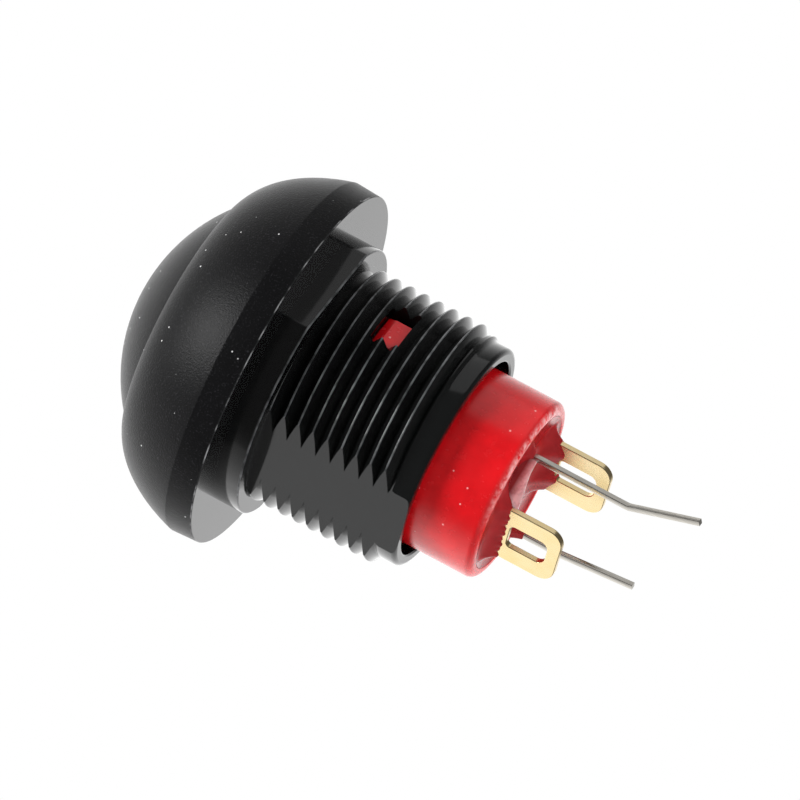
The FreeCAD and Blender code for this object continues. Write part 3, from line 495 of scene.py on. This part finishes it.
# Plunger, springs and seal
# The plunger is a hollow stem moulded in white acetal. A return spring wound from drawn steel wire stands
# round it, between the web of the bush and the cap. A rubber ring under the web is held by a pressed washer.
spring_low, spring_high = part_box("return_spring")
SPRING_LOW, SPRING_HIGH = spring_low.z / MM, spring_high.z / MM
SPRING_RADIUS, SPRING_WIRE, SPRING_TURNS = 5.06, 0.5, 5.5
SPRING_STEPS, WIRE_SIDES = 265, 12


def finish_nodes(material, *nodes):
    """Gives CAD nodes a material in place of their own."""
    for node in nodes:
        slots = frame["nodes"][node].data.materials
        slots.clear()
        slots.append(material)


def speckled_material(name, colours, speck_size, roughness, metallic=0.0):
    """Material whose colour and gloss wander between two tones over specks of a size in millimetres."""
    material, tree, place = new_material(name)
    dark, light = map(linear_colour, colours)
    noise = add_node(tree, "TexNoise", {"Scale": 1 / (speck_size * MM), "Detail": 4.0}, {"Vector": place})
    tone = add_node(tree, "Mix", {"data_type": "RGBA", 6: dark, 7: light}, {0: noise})
    gloss = add_node(tree, "MapRange", {"To Min": roughness[0], "To Max": roughness[1]}, {"Value": noise})
    shader = add_node(tree, "BsdfPrincipled", {"Metallic": metallic},
                      {"Base Color": tone.outputs[2], "Roughness": gloss})
    return show(material, shader)


finish_nodes(speckled_material("moulded_white_acetal", ("#dedcd4", "#efede6"), 0.5, (0.3, 0.45)), "plunger")
steel = speckled_material("drawn_spring_steel", ("#7f8082", "#a5a6a8"), 0.2, (0.2, 0.4), 1.0)
finish_nodes(steel, "contact_spring", "seal_retainer", "retaining_clip")
rubber = speckled_material("moulded_seal_rubber", ("#121212", "#202020"), 0.3, (0.6, 0.8))
finish_nodes(rubber, "stem_seal")


def coil_points():
    """Round wire wound about the Z axis: x = r cos(turn), y = r sin(turn), with a flat turn at each end.

    Over the end turns the height grows by one wire thickness, and evenly between them. The section is a
    circle, r = coil radius + wire radius cos(a), height + wire radius sin(a), drawn to a point at the ends.
    """
    turn = np.linspace(0, SPRING_TURNS, SPRING_STEPS)
    half = SPRING_WIRE / 2
    rises = [SPRING_LOW + half, SPRING_LOW + 3 * half, SPRING_HIGH - 3 * half, SPRING_HIGH - half]
    height = np.interp(turn, [0, 1, SPRING_TURNS - 1, SPRING_TURNS], rises)
    turn = np.concatenate([turn[:1], turn, turn[-1:]])[:, None]
    height = np.concatenate([height[:1], height, height[-1:]])[:, None]
    size = np.full(turn.shape, half)
    size[[0, -1]] = 0
    around = np.linspace(0, 2 * np.pi, WIRE_SIDES + 1)[None, :-1]
    radius = SPRING_RADIUS + size * np.cos(around)
    angle = 2 * np.pi * turn
    return np.stack([radius * np.cos(angle), radius * np.sin(angle), height + size * np.sin(around)],
                    axis=-1)


spring_mesh = settle(grid_mesh("return_spring_form", coil_points(), wrap_columns=True), sharp_angle=60)
return_coil = new_piece("return_spring_coil", spring_mesh, steel, "housing", "spring_steel", "return_spring")
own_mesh(return_coil)


# Contacts and their bridge
# A stamped brass bridge slides on the plunger and carries two silver contacts, which close on a second pair
# that is riveted to the tabs of the terminals.
brass = speckled_material("stamped_contact_brass", ("#b58e3f", "#d2ad5e"), 0.4, (0.25, 0.4), 1.0)
finish_nodes(brass, "contact_bridge")
finish_nodes(speckled_material("contact_silver", ("#b9b9b6", "#dcdcda"), 0.15, (0.2, 0.45), 1.0),
             "moving_contact_front", "moving_contact_rear", "fixed_contact_front", "fixed_contact_rear")


# Base
# The base is a cup moulded in glossy red polyester. It is pushed up the bush until its two latches spring
# out into the windows, and its rear rim, left open for the resin, has a soft round edge.
base_low, base_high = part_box("base")
BASE_END = base_low.z / MM
LATCH_FACE = base_high.x / MM
BASE_RADIUS, BASE_ROUND = 5.98, 0.5
CUP_RADIUS, CUP_ROUND = 5.2, 0.1
GUIDE_RADIUS, GUIDE_TOP, GUIDE_BOTTOM, GUIDE_TAPER = 6.5, -3.1, -7.9, 0.5
GUIDE_ROUND = 0.1
FLOOR_TOP, FLOOR_BOTTOM = -9.5, -11.5
POST_RADIUS = 1.6
POST_TOP = base_high.z / MM
LATCH_HALF_WIDTH = 1.15
LATCH_ROOT = 6.11
LATCH_BOTTOM, LATCH_SHOULDER, LATCH_TOP = -6.45, -5.3, -4.8
LATCH_LEAD = 0.2
LATCH_ROUND, LATCH_TIP_ROUND = 0.1, 0.05
SLIT_WIDTH = 0.75
TERMINAL_PLACE = 3.3
TERMINAL_HALF_WIDTH = 2.1
TERMINAL_THICKNESS = 0.4
LEAD_PITCH = 2.54
LEAD_SIZE = 0.36
SLOT_CLEARANCE = 0.03


def prism_mesh(name, outline, low, high):
    """Closed prism: an outline in the XZ plane carried along Y."""
    outline = np.asarray(outline, float)
    count = len(outline)
    across, up = np.tile(outline, (2, 1)).T
    points = np.stack([across, np.repeat([low, high], count), up], axis=-1)
    side = np.arange(count)
    ahead = (side + 1) % count
    walls = np.stack([side, ahead, ahead + count, side + count], axis=-1).tolist()
    return settle(new_mesh(name, points, [side[::-1].tolist(), (side + count).tolist(), *walls]))


base_corners = [(0, FLOOR_BOTTOM), (CUP_RADIUS, FLOOR_BOTTOM), (CUP_RADIUS, BASE_END),
                (BASE_RADIUS, BASE_END), (BASE_RADIUS, GUIDE_BOTTOM - GUIDE_TAPER),
                (GUIDE_RADIUS, GUIDE_BOTTOM), (GUIDE_RADIUS, GUIDE_TOP), (CUP_RADIUS, GUIDE_TOP),
                (CUP_RADIUS, FLOOR_TOP), (POST_RADIUS, FLOOR_TOP), (POST_RADIUS, POST_TOP), (0, POST_TOP)]
base_radii = [0, 0, CUP_ROUND, BASE_ROUND, 0, 0, GUIDE_ROUND, GUIDE_ROUND, 0, 0, 0, 0]
base_section = round_corners(base_corners, base_radii, steps=9)
base_mesh = settle(grid_mesh("base_form", turned_points(base_section, ROUND_COLUMNS)))
for side in (1, -1):
    latch = round_corners(
        [(side * LATCH_ROOT, LATCH_BOTTOM), (side * LATCH_FACE, LATCH_BOTTOM),
         (side * LATCH_FACE, LATCH_SHOULDER), (side * (LATCH_FACE - LATCH_LEAD), LATCH_TOP),
         (side * LATCH_ROOT, LATCH_TOP)], [0, LATCH_ROUND, LATCH_ROUND, LATCH_TIP_ROUND, 0])
    latch_mesh = prism_mesh("latch_form", latch, -LATCH_HALF_WIDTH, LATCH_HALF_WIDTH)
    base_mesh = combine(base_mesh, latch_mesh, "UNION")
slit_far = LATCH_HALF_WIDTH + SLIT_WIDTH
slot_near = TERMINAL_PLACE - TERMINAL_THICKNESS / 2 - SLOT_CLEARANCE
slot_far = TERMINAL_PLACE + TERMINAL_THICKNESS / 2 + SLOT_CLEARANCE
slot_half = TERMINAL_HALF_WIDTH + SLOT_CLEARANCE
channel_near = (LEAD_PITCH - LEAD_SIZE) / 2 - SLOT_CLEARANCE
channel_half = LEAD_SIZE / 2 + SLOT_CLEARANCE
cut_low = FLOOR_BOTTOM - CUT_SPARE
base_cuts = []
for side in (1, -1):
    slit = sorted((side * LATCH_HALF_WIDTH, side * slit_far))
    slot = sorted((side * slot_near, side * slot_far))
    channel = sorted((side * channel_near, side * (POST_RADIUS + SLOT_CLEARANCE)))
    base_cuts += [((-REAR_BORE, slit[0], GUIDE_BOTTOM + GUIDE_TAPER),
                   (REAR_BORE, slit[1], GUIDE_TOP + CUT_SPARE)),
                  ((-slot_half, slot[0], cut_low), (slot_half, slot[1], FLOOR_TOP + CUT_SPARE)),
                  ((channel[0], -channel_half, cut_low), (channel[1], channel_half, POST_TOP + CUT_SPARE))]
base_mesh = combine(base_mesh, blocks_mesh("base_cuts", base_cuts), "DIFFERENCE")
shade(base_mesh)


def red_polyester():
    """Glossy moulded red polyester: a little clouded, with fine rubs, pale specks and a painted highlight on
    one side of its rim.

    A pale highlight is painted on the rim where its height and its X reach the lit range, broken by scuffs.
    Sizes in millimetres.
    """
    material, tree, place = new_material("moulded_red_polyester")
    cloud_size, scuff_size, rub_size, rub_depth = 2.2, 0.35, 0.5, 0.02
    speck_spacing, speck_radius = 0.9, 0.07
    lit_rim_start, lit_rim_full = BASE_END + 0.28, BASE_END + 0.08
    lit_side_start, lit_side_full = 1.5, 4.5
    deep, bright, pale_speck, pale_rim_highlight = map(linear_colour, ("#b2080f", "#f2121c", "#f0a0a0", "#f0a8a8"))
    cloud = add_node(tree, "TexNoise", {"Scale": 1 / (cloud_size * MM), "Detail": 4.0}, {"Vector": place})
    tone = add_node(tree, "Mix", {"data_type": "RGBA", 6: deep, 7: bright}, {0: cloud})
    dots = add_node(tree, "TexVoronoi", {"Scale": 1 / (speck_spacing * MM)}, {"Vector": place})
    speck = add_node(tree, "Math", {"operation": "LESS_THAN", 1: speck_radius / speck_spacing},
                     {0: dots.outputs["Distance"]})
    chosen = add_node(tree, "SeparateColor", links={"Color": dots.outputs["Color"]})
    few = add_node(tree, "Math", {"operation": "GREATER_THAN", 1: 0.4}, {0: chosen})
    spot = add_node(tree, "Math", {"operation": "MULTIPLY"}, {0: speck, 1: few})
    tone = add_node(tree, "Mix", {"data_type": "RGBA", 7: pale_speck}, {0: spot, 6: tone.outputs[2]})
    axes = add_node(tree, "SeparateXYZ", links={0: place})
    # painted highlight: the rim is coloured pale pink on the side where the light falls on it
    rim = add_node(tree, "MapRange", {"From Min": lit_rim_start * MM, "From Max": lit_rim_full * MM},
                   {"Value": axes.outputs["Z"]})
    side = add_node(tree, "MapRange", {"From Min": lit_side_start * MM, "From Max": lit_side_full * MM},
                    {"Value": axes.outputs["X"]})
    scuff = add_node(tree, "TexNoise", {"Scale": 1 / (scuff_size * MM), "Detail": 4.0}, {"Vector": place})
    scuff = add_node(tree, "MapRange", {"From Min": 0.34, "From Max": 0.66}, {"Value": scuff})
    lit_rim = add_node(tree, "Math", {"operation": "MULTIPLY"}, {0: rim, 1: side})
    lit_rim = add_node(tree, "Math", {"operation": "MULTIPLY"}, {0: lit_rim, 1: scuff})
    tone = add_node(tree, "Mix", {"data_type": "RGBA", 7: pale_rim_highlight}, {0: lit_rim, 6: tone.outputs[2]})
    rub = add_node(tree, "TexNoise", {"Scale": 1 / (rub_size * MM), "Detail": 5.0}, {"Vector": place})
    rough = add_node(tree, "MapRange", {"To Min": 0.16, "To Max": 0.34}, {"Value": rub})
    bump = add_node(tree, "Bump", {"Distance": rub_depth * MM, "Strength": 0.25}, {"Height": rub})
    shader = add_node(tree, "BsdfPrincipled", {"IOR": 1.55},
                      {"Base Color": tone.outputs[2], "Roughness": rough, "Normal": bump})
    return show(material, shader)


new_piece("base_cup", base_mesh, red_polyester(), "housing", "red_polyester", "base")


# Switch terminals
# Two blades stamped from brass strip and gold plated, each with a long eye for a wire. A tab at the inner
# end is bent over the floor of the base and carries the fixed contact. Stamping leaves rolled edges.
terminal_low, terminal_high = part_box("terminal_front")
TERMINAL_TIP = terminal_low.z / MM
TAB_TOP = terminal_high.z / MM
TAB_REACH = -terminal_low.y / MM
TAB_HALF_WIDTH = 1.2
TERMINAL_CORNER = 1.0
EYE_HALF_WIDTH, EYE_ROOT_CORNER, EYE_TIP_CORNER = 0.9, 0.3, 0.55
EYE_LOW, EYE_HIGH = TERMINAL_TIP + 0.8, TERMINAL_TIP + 3.4
STAMPED_EDGE = 0.045
STAMPED_ANGLE = math.radians(50)


def drawn_metal(name, colours, mark_size, mark_depth, stretch, roughness, cloud_size=None):
    """Bright plated metal with fine marks drawn out along Z by rolls or a die. Sizes are in millimetres.

    Its colour wanders over clouds of their own size where one is given, and over the marks otherwise.
    """
    material, tree, place = new_material(name)
    deep, pale = map(linear_colour, colours)
    stretched = add_node(tree, "Mapping", {"Scale": (1.0, 1.0, stretch)}, {"Vector": place})
    mark = add_node(tree, "TexNoise", {"Scale": 1 / (mark_size * MM), "Detail": 3.0}, {"Vector": stretched})
    cloud = mark
    if cloud_size:
        cloud = add_node(tree, "TexNoise", {"Scale": 1 / (cloud_size * MM), "Detail": 3.0},
                         {"Vector": place})
    tone = add_node(tree, "Mix", {"data_type": "RGBA", 6: deep, 7: pale}, {0: cloud})
    rough = add_node(tree, "MapRange", {"To Min": roughness[0], "To Max": roughness[1]}, {"Value": mark})
    bump = add_node(tree, "Bump", {"Distance": mark_depth * MM, "Strength": 0.15}, {"Height": mark})
    shader = add_node(tree, "BsdfPrincipled", {"Metallic": 1.0},
                      {"Base Color": tone.outputs[2], "Roughness": rough, "Normal": bump})
    return show(material, shader)


gold = drawn_metal("gold_plated_brass", ("#f6da9a", "#fdeabe"), mark_size=0.12, mark_depth=0.004,
                   stretch=0.08, roughness=(0.22, 0.32), cloud_size=1.2)
blade_outline = round_corners(
    [(-TERMINAL_HALF_WIDTH, TAB_TOP), (-TERMINAL_HALF_WIDTH, TERMINAL_TIP),
     (TERMINAL_HALF_WIDTH, TERMINAL_TIP), (TERMINAL_HALF_WIDTH, TAB_TOP)],
    [0, TERMINAL_CORNER, TERMINAL_CORNER, 0], steps=12)
eye_outline = round_corners(
    [(-EYE_HALF_WIDTH, EYE_HIGH), (-EYE_HALF_WIDTH, EYE_LOW), (EYE_HALF_WIDTH, EYE_LOW),
     (EYE_HALF_WIDTH, EYE_HIGH)],
    [EYE_ROOT_CORNER, EYE_TIP_CORNER, EYE_TIP_CORNER, EYE_ROOT_CORNER], steps=9)
for name, side in (("front", -1), ("rear", 1)):
    faces = sorted((side * (TERMINAL_PLACE - TERMINAL_THICKNESS / 2),
                    side * (TERMINAL_PLACE + TERMINAL_THICKNESS / 2)))
    tab = sorted((side * TERMINAL_PLACE, side * TAB_REACH))
    blade = prism_mesh("blade_form", blade_outline, *faces)
    eye = prism_mesh("eye_form", eye_outline, faces[0] - CUT_SPARE, faces[1] + CUT_SPARE)
    blade = combine(blade, eye, "DIFFERENCE")
    tab_low = (-TAB_HALF_WIDTH, tab[0], TAB_TOP - TERMINAL_THICKNESS)
    tab_high = (TAB_HALF_WIDTH, tab[1], TAB_TOP)
    blade = combine(blade, blocks_mesh("tab_form", [(tab_low, tab_high)]), "UNION")
    shade(blade)
    terminal = new_piece(f"terminal_blade_{name}", blade, gold, "housing", "gold_plated_brass",
                         f"terminal_{name}")
    edge = terminal.modifiers.new("stamped_edge", "BEVEL")
    edge.width = STAMPED_EDGE * MM
    edge.segments = 3
    edge.limit_method = "ANGLE"
    edge.angle_limit = STAMPED_ANGLE


# Lamp and its leads
# A small round lamp stands on the post of the base. Its two leads are square tinned steel wire, cut off a
# strip: they run down the post, spread in the resin and come out behind, the longer one bent over.
finish_nodes(speckled_material("cast_lamp_epoxy", ("#c9cdd0", "#e4e8ea"), 0.8, (0.05, 0.15)), "led_lamp")
LEAD_BEND = 0.9
LEAD_EDGE = 0.04
SPREAD_START, SPREAD_END = -12.2, -15.0
LEAD_ROUTES = {
    "right": [(LEAD_PITCH / 2, POST_TOP), (LEAD_PITCH / 2, SPREAD_START),
              (3.5, SPREAD_END), (3.5, -22.8), (5.3, -27.3)],
    "left": [(-LEAD_PITCH / 2, POST_TOP), (-LEAD_PITCH / 2, SPREAD_START),
             (-3.2, SPREAD_END), (-3.2, -19.6), (-2.62, -24.6)],
}


def wire_points(route):
    """Square wire: a section with round corners carried along a route in the XZ plane, its ends closed."""
    path = round_corners(route, [0, LEAD_BEND, LEAD_BEND, LEAD_BEND, 0], steps=9)
    way = np.gradient(path, axis=0)
    way /= np.linalg.norm(way, axis=1, keepdims=True)
    across = np.stack([-way[:, 1], way[:, 0]], axis=-1)
    half = LEAD_SIZE / 2
    corners = [(-half, -half), (half, -half), (half, half), (-half, half)]
    section = round_corners(corners, [LEAD_EDGE] * 4, steps=3)
    path = np.concatenate([path[:1], path, path[-1:]])
    across = np.concatenate([across[:1], across, across[-1:]])
    size = np.ones((len(path), 1))
    size[[0, -1]] = 0
    sideways = size * section[None, :, 0]
    outwards = size * section[None, :, 1]
    return np.stack([path[:, :1] + sideways * across[:, :1], outwards,
                     path[:, 1:] + sideways * across[:, 1:]], axis=-1)


wire = drawn_metal("tinned_steel_wire", ("#9c9890", "#dedad2"), mark_size=0.08, mark_depth=0.006,
                   stretch=0.06, roughness=(0.16, 0.3))
for name, route in LEAD_ROUTES.items():
    lead_mesh = settle(grid_mesh("lead_form", wire_points(route), wrap_columns=True))
    new_piece(f"lamp_wire_{name}", lead_mesh, wire, "housing", "tinned_wire", f"led_lead_{name}")


# Sealing resin
# Dark red epoxy is poured into the open end of the cup to seal it. It sets a little below the rim and creeps
# up the wall, the blades and the leads. Between the right lead and the front blade it was drawn into a web.
RESIN_LEVEL = BASE_END + 0.3
RESIN_EDGE = CUP_RADIUS - 0.005
RESIN_RINGS, RESIN_COLUMNS = 100, 288
BLADE_CLIMB, BLADE_REACH = 1.1, 0.55
LEAST_CLIMB, REAR_EXTRA, EDGE_DROP = 0.3, 0.05, 0.2
REAR_LOBES = [(1.35, 0.4, 0.65), (-1.0, 0.35, 0.5)]  # place along the blade, extra climb, half width
FRONT_WAVES = [(0.05, 5.3, 1), (0.04, 13.1, 2.2), (0.02, 31, 0)]  # height, turn a millimetre, start
WAVE_REACH = 0.08
LEAD_CLIMBS, LEAD_REACH = {"right": 0.55, "left": 1.4}, 0.35
WALL_CLIMB, WALL_REACH = 0.27, 0.7
CREEP_THICKNESS = 0.04


def block_distance(x, y, centre, half):
    """Distance in plan from a point to an upright block."""
    return np.hypot(np.maximum(np.abs(x - centre[0]) - half[0], 0),
                    np.maximum(np.abs(y - centre[1]) - half[1], 0))


def resin_rise(x, y):
    """Height of the set resin over its level: each thing that it wets lifts it, falling off exponentially.

    On the rear blade two bell-shaped lobes climb further, and on the front one the line wavers. The lifts
    are added as fourth powers, so that the highest one leads and the others blend into it.
    """
    blade_half = (TERMINAL_HALF_WIDTH + CREEP_THICKNESS, TERMINAL_THICKNESS / 2 + CREEP_THICKNESS)
    lead_half = (LEAD_SIZE / 2 + CREEP_THICKNESS, LEAD_SIZE / 2 + CREEP_THICKNESS)
    off_rear = block_distance(x, y, (0, TERMINAL_PLACE), blade_half)
    off_front = block_distance(x, y, (0, -TERMINAL_PLACE), blade_half)
    rear_climb = BLADE_CLIMB + REAR_EXTRA - EDGE_DROP * (x / TERMINAL_HALF_WIDTH) ** 6
    for lobe_place, lobe_climb, lobe_width in REAR_LOBES:
        rear_climb = rear_climb + lobe_climb * np.exp(-((x - lobe_place) / lobe_width) ** 2)
    waver = sum(size * np.sin(rate * x + start) for size, rate, start in FRONT_WAVES)
    front_climb = BLADE_CLIMB + waver * np.exp(-off_front / WAVE_REACH)
    lifts = [np.maximum(rear_climb, LEAST_CLIMB) * np.exp(-off_rear / BLADE_REACH),
             np.maximum(front_climb, LEAST_CLIMB) * np.exp(-off_front / BLADE_REACH)]
    for name, route in LEAD_ROUTES.items():
        off_lead = block_distance(x, y, (route[-2][0], 0), lead_half)
        lifts.append(LEAD_CLIMBS[name] * np.exp(-off_lead / LEAD_REACH))
    lifts.append(WALL_CLIMB * np.exp(-(CUP_RADIUS - np.hypot(x, y)) / WALL_REACH))
    return sum(lift ** 4 for lift in lifts) ** 0.25


def resin_points():
    """Polar grid over the resin's face, down the cup's wall and across the floor, closed at both poles."""
    radius = np.concatenate([np.linspace(0, RESIN_EDGE, RESIN_RINGS), [RESIN_EDGE, 0]])[:, None]
    angle = np.linspace(0, 2 * np.pi, RESIN_COLUMNS + 1)[None, :]
    x = radius * np.cos(angle)
    y = radius * np.sin(angle)
    height = RESIN_LEVEL - resin_rise(x, y)
    height[-2:] = FLOOR_BOTTOM
    return np.stack([x, y, height], axis=-1)


def red_resin():
    """Cast epoxy tinted dark red: wet looking gloss over a slightly uneven face."""
    material, tree, place = new_material("cast_red_epoxy")
    cloud_size, cloud_depth = 0.9, 0.08  # millimetres
    dark, light = map(linear_colour, ("#881216", "#b42226"))
    cloud = add_node(tree, "TexNoise", {"Scale": 1 / (cloud_size * MM), "Detail": 4.0}, {"Vector": place})
    tone = add_node(tree, "Mix", {"data_type": "RGBA", 6: dark, 7: light}, {0: cloud})
    bump = add_node(tree, "Bump", {"Distance": cloud_depth * MM, "Strength": 0.3}, {"Height": cloud})
    shader = add_node(tree, "BsdfPrincipled", {"IOR": 1.55, "Specular IOR Level": 0.35, "Roughness": 0.2},
                      {"Base Color": tone.outputs[2], "Normal": bump})
    return show(material, shader)


resin_mesh = settle(grid_mesh("resin_form", resin_points()), sharp_angle=60)
new_piece("resin_fill", resin_mesh, red_resin(), "housing", "red_resin", "resin_seal")

FILM_START, FILM_STOP = np.array([3.42, -0.12]), np.array([2.06, -3.2])
FILM_EDGE = ([0, 0.25, 0.43, 0.72, 1], [-16.6, -16.64, -16.74, -16.97, -17.14])  # share of the way, height
FILM_THICKNESS, FILM_FOOT, FILM_SINK = 0.05, 0.25, 0.1
FILM_STATIONS, FILM_RISES = 49, 13


def film_points():
    """Thin sheet between the right lead and the front blade: share of the way by share of its height.

    It stands sunk in the resin and rises to a free edge that sags between the two. Its thickness grows
    towards the foot as the square of the depth below the edge, and its ends are drawn in to points.
    """
    way = np.linspace(0, 1, FILM_STATIONS)[:, None]
    edge = np.interp(way, *FILM_EDGE)
    plan = FILM_START + way * (FILM_STOP - FILM_START)
    foot = RESIN_LEVEL - resin_rise(plan[:, :1], plan[:, 1:]) + FILM_SINK
    rise = np.concatenate([np.linspace(0, 1, FILM_RISES), np.linspace(1, 0, FILM_RISES)])[None, :]
    side = np.repeat([1, -1], FILM_RISES)[None, :]
    half = side * (FILM_THICKNESS + FILM_FOOT * (1 - rise) ** 2) / 2 * (np.sin(np.pi * way) > 1e-6)
    across = np.array([FILM_STOP[1] - FILM_START[1], FILM_START[0] - FILM_STOP[0]])
    across = across / np.linalg.norm(across)
    return np.stack([plan[:, :1] + half * across[0], plan[:, 1:] + half * across[1],
                     foot + (edge - foot) * rise], axis=-1)


def drawn_film():
    """Tinted epoxy drawn out so thin that light scatters in it: red at its foot, and painted pale pink at
    the edge as the glow of light from behind.
    """
    material, tree, place = new_material("drawn_red_epoxy_film")
    streak_size, scatter_depth = 0.3, 0.3  # millimetres
    red_height, glow_height = -16.1, -16.6
    foot_red, glow_pink = map(linear_colour, ("#94282c", "#f6c0c2"))
    height = add_node(tree, "SeparateXYZ", links={0: place}).outputs["Z"]
    streak = add_node(tree, "TexNoise", {"Scale": 1 / (streak_size * MM), "Detail": 3.0}, {"Vector": place})
    # painted glow: the film is coloured pale towards its free edge, as where light from behind shines
    # through it
    thin_glow = add_node(tree, "MapRange", {"From Min": red_height * MM, "From Max": glow_height * MM},
                    {"Value": height})
    patch = add_node(tree, "MapRange", {"From Min": 0.3, "From Max": 0.55, "To Min": 0.6},
                     {"Value": streak})
    thin_glow = add_node(tree, "Math", {"operation": "MULTIPLY"}, {0: thin_glow, 1: patch})
    tone = add_node(tree, "Mix", {"data_type": "RGBA", 6: foot_red, 7: glow_pink}, {0: thin_glow})
    shader = add_node(tree, "BsdfPrincipled",
                      {"IOR": 1.55, "Roughness": 0.15, "Subsurface Weight": 1.0,
                       "Subsurface Radius": (1, 0.6, 0.6), "Subsurface Scale": scatter_depth * MM},
                      {"Base Color": tone.outputs[2]})
    return show(material, shader)


film_mesh = settle(grid_mesh("resin_web_form", film_points(), wrap_columns=True), sharp_angle=60)
new_piece("resin_web", film_mesh, drawn_film(), "housing", "red_resin")


# Studio stage, light and camera
# A tent of white cloth stands round the part, lit from behind and from the left. In it are a soft lamp at
# the upper left, two weak ones above and below, and a white floor well below the leads. The part keeps its
# panel frame, so the camera is turned on its axis as the switch lay in front of it.
CAMERA_AZIMUTH, CAMERA_ELEVATION, CAMERA_TURN = map(math.radians, (48.0, -11.197, 61.92))
CAMERA_DISTANCE = 453.543
CAMERA_AIM = np.array([0.0633, 2.0251, -6.6073])
CAMERA_LENS, CAMERA_SENSOR, CAMERA_CLIP = 334.65, 36, 10
FLOOR_DROP, FLOOR_REACH = 150, 900
TENT_RADIUS = 600
TENT_ROWS, TENT_COLUMNS = 25, 48
TENT_DARK, TENT_BRIGHT = 0.1, 1.7
LIT_BEHIND, LIT_LEFT = 0.85, 0.6
LAMP_DISTANCE = 400
LAMPS = {  # way from the part along the camera's right, up and back, then millimetres across and watts
    "soft_lamp": ((-0.8, 0.4, 0.45), 210, 2.2),
    "top_lamp": ((0.35, 0.93, 0.1), 380, 0.25),
    "low_lamp": ((-0.61, -0.78, -0.14), 350, 0.09),
}

back = np.array([math.sin(CAMERA_AZIMUTH) * math.cos(CAMERA_ELEVATION),
                 -math.cos(CAMERA_AZIMUTH) * math.cos(CAMERA_ELEVATION), math.sin(CAMERA_ELEVATION)])
level_right = np.array([math.cos(CAMERA_AZIMUTH), math.sin(CAMERA_AZIMUTH), 0])
level_up = np.cross(back, level_right)
camera_up = math.cos(CAMERA_TURN) * level_up + math.sin(CAMERA_TURN) * level_right
camera_right = np.cross(camera_up, back)


def facing(right, up, behind, place):
    """Matrix of an object that looks against its third axis, from a place in millimetres."""
    matrix = np.eye(4)
    matrix[:3, :3] = np.stack([right, up, behind], axis=1)
    matrix[:3, 3] = np.asarray(place) * MM
    return Matrix(matrix.tolist())


def stage_piece(name, mesh, material):
    """Object of the studio, which is no part of the switch."""
    piece = new_object(name, mesh)
    mesh.materials.append(material)
    return piece


camera_data = bpy.data.cameras.new("camera")
camera_data.lens = CAMERA_LENS
camera_data.sensor_width = CAMERA_SENSOR
camera_data.clip_start = CAMERA_CLIP * MM
camera = new_object("camera", camera_data)
camera.matrix_world = facing(camera_right, camera_up, back, CAMERA_AIM + back * CAMERA_DISTANCE)
bpy.context.scene.camera = camera

# The floor is clear from its underside, so that the part can be looked at from below, and gloss on the part
# shows the tent past it.
floor_corners = np.array([[(-1, -1, 0), (1, -1, 0)], [(-1, 1, 0), (1, 1, 0)]]) * FLOOR_REACH
floor_mesh = grid_mesh("floor_form", floor_corners - np.array([0.0, 0.0, FLOOR_DROP]))
paper, tree, _ = new_material("white_paper")
sheet = add_node(tree, "BsdfPrincipled", {"Base Color": linear_colour("#f2f2f2"), "Roughness": 0.9})
underside = add_node(tree, "NewGeometry").outputs["Backfacing"]
clear = add_node(tree, "BsdfTransparent")
show(paper, add_node(tree, "MixShader", links={0: underside, 1: sheet, 2: clear}))
floor = stage_piece("floor", floor_mesh, paper)
floor.visible_glossy = False

# The tent's cloth glows by the direction from the part: smoothly from dark to bright towards its lit side.
tent_turn = np.linspace(0, np.pi, TENT_ROWS)
tent_section = TENT_RADIUS * np.stack([np.sin(tent_turn), np.cos(tent_turn)], axis=-1)
tent_mesh = settle(grid_mesh("tent_form", turned_points(tent_section, TENT_COLUMNS)))
lit_side = -LIT_BEHIND * back - LIT_LEFT * camera_right
lit_side /= np.linalg.norm(lit_side) * TENT_RADIUS * MM
cloth, tree, place = new_material("lit_tent_cloth")
towards = add_node(tree, "VectorMath", {"operation": "DOT_PRODUCT", 1: lit_side.tolist()}, {0: place})
level = add_node(tree, "MapRange",
                 {"interpolation_type": "SMOOTHSTEP", "From Min": -0.15, "From Max": 1.0,
                  "To Min": TENT_DARK, "To Max": TENT_BRIGHT}, {"Value": towards.outputs["Value"]})
show(cloth, add_node(tree, "Emission", links={"Strength": level}))
tent = stage_piece("light_tent", tent_mesh, cloth)
tent.visible_camera = False
tent.visible_transmission = False

for name, (way, size, power) in LAMPS.items():
    lamp_way = np.array(way) @ np.stack([camera_right, camera_up, back])
    lamp_way /= np.linalg.norm(lamp_way)
    lamp_right = np.cross(back, lamp_way)
    lamp_right /= np.linalg.norm(lamp_right)
    lamp_up = np.cross(lamp_way, lamp_right)
    lamp_data = bpy.data.lights.new(name, "AREA")
    lamp_data.size = size * MM
    lamp_data.energy = power
    lamp = new_object(name, lamp_data)
    lamp.matrix_world = facing(lamp_right, lamp_up, lamp_way, lamp_way * LAMP_DISTANCE)
    lamp.visible_camera = False

world = bpy.data.worlds.new("white_room")
bpy.context.scene.world = world
world.use_nodes = True
world.node_tree.nodes.clear()
sky = add_node(world.node_tree, "Background", {"Color": (1, 1, 1, 1), "Strength": 1.0})
add_node(world.node_tree, "OutputWorld", links={"Surface": sky})

bpy.context.scene.view_settings.view_transform = "Standard"
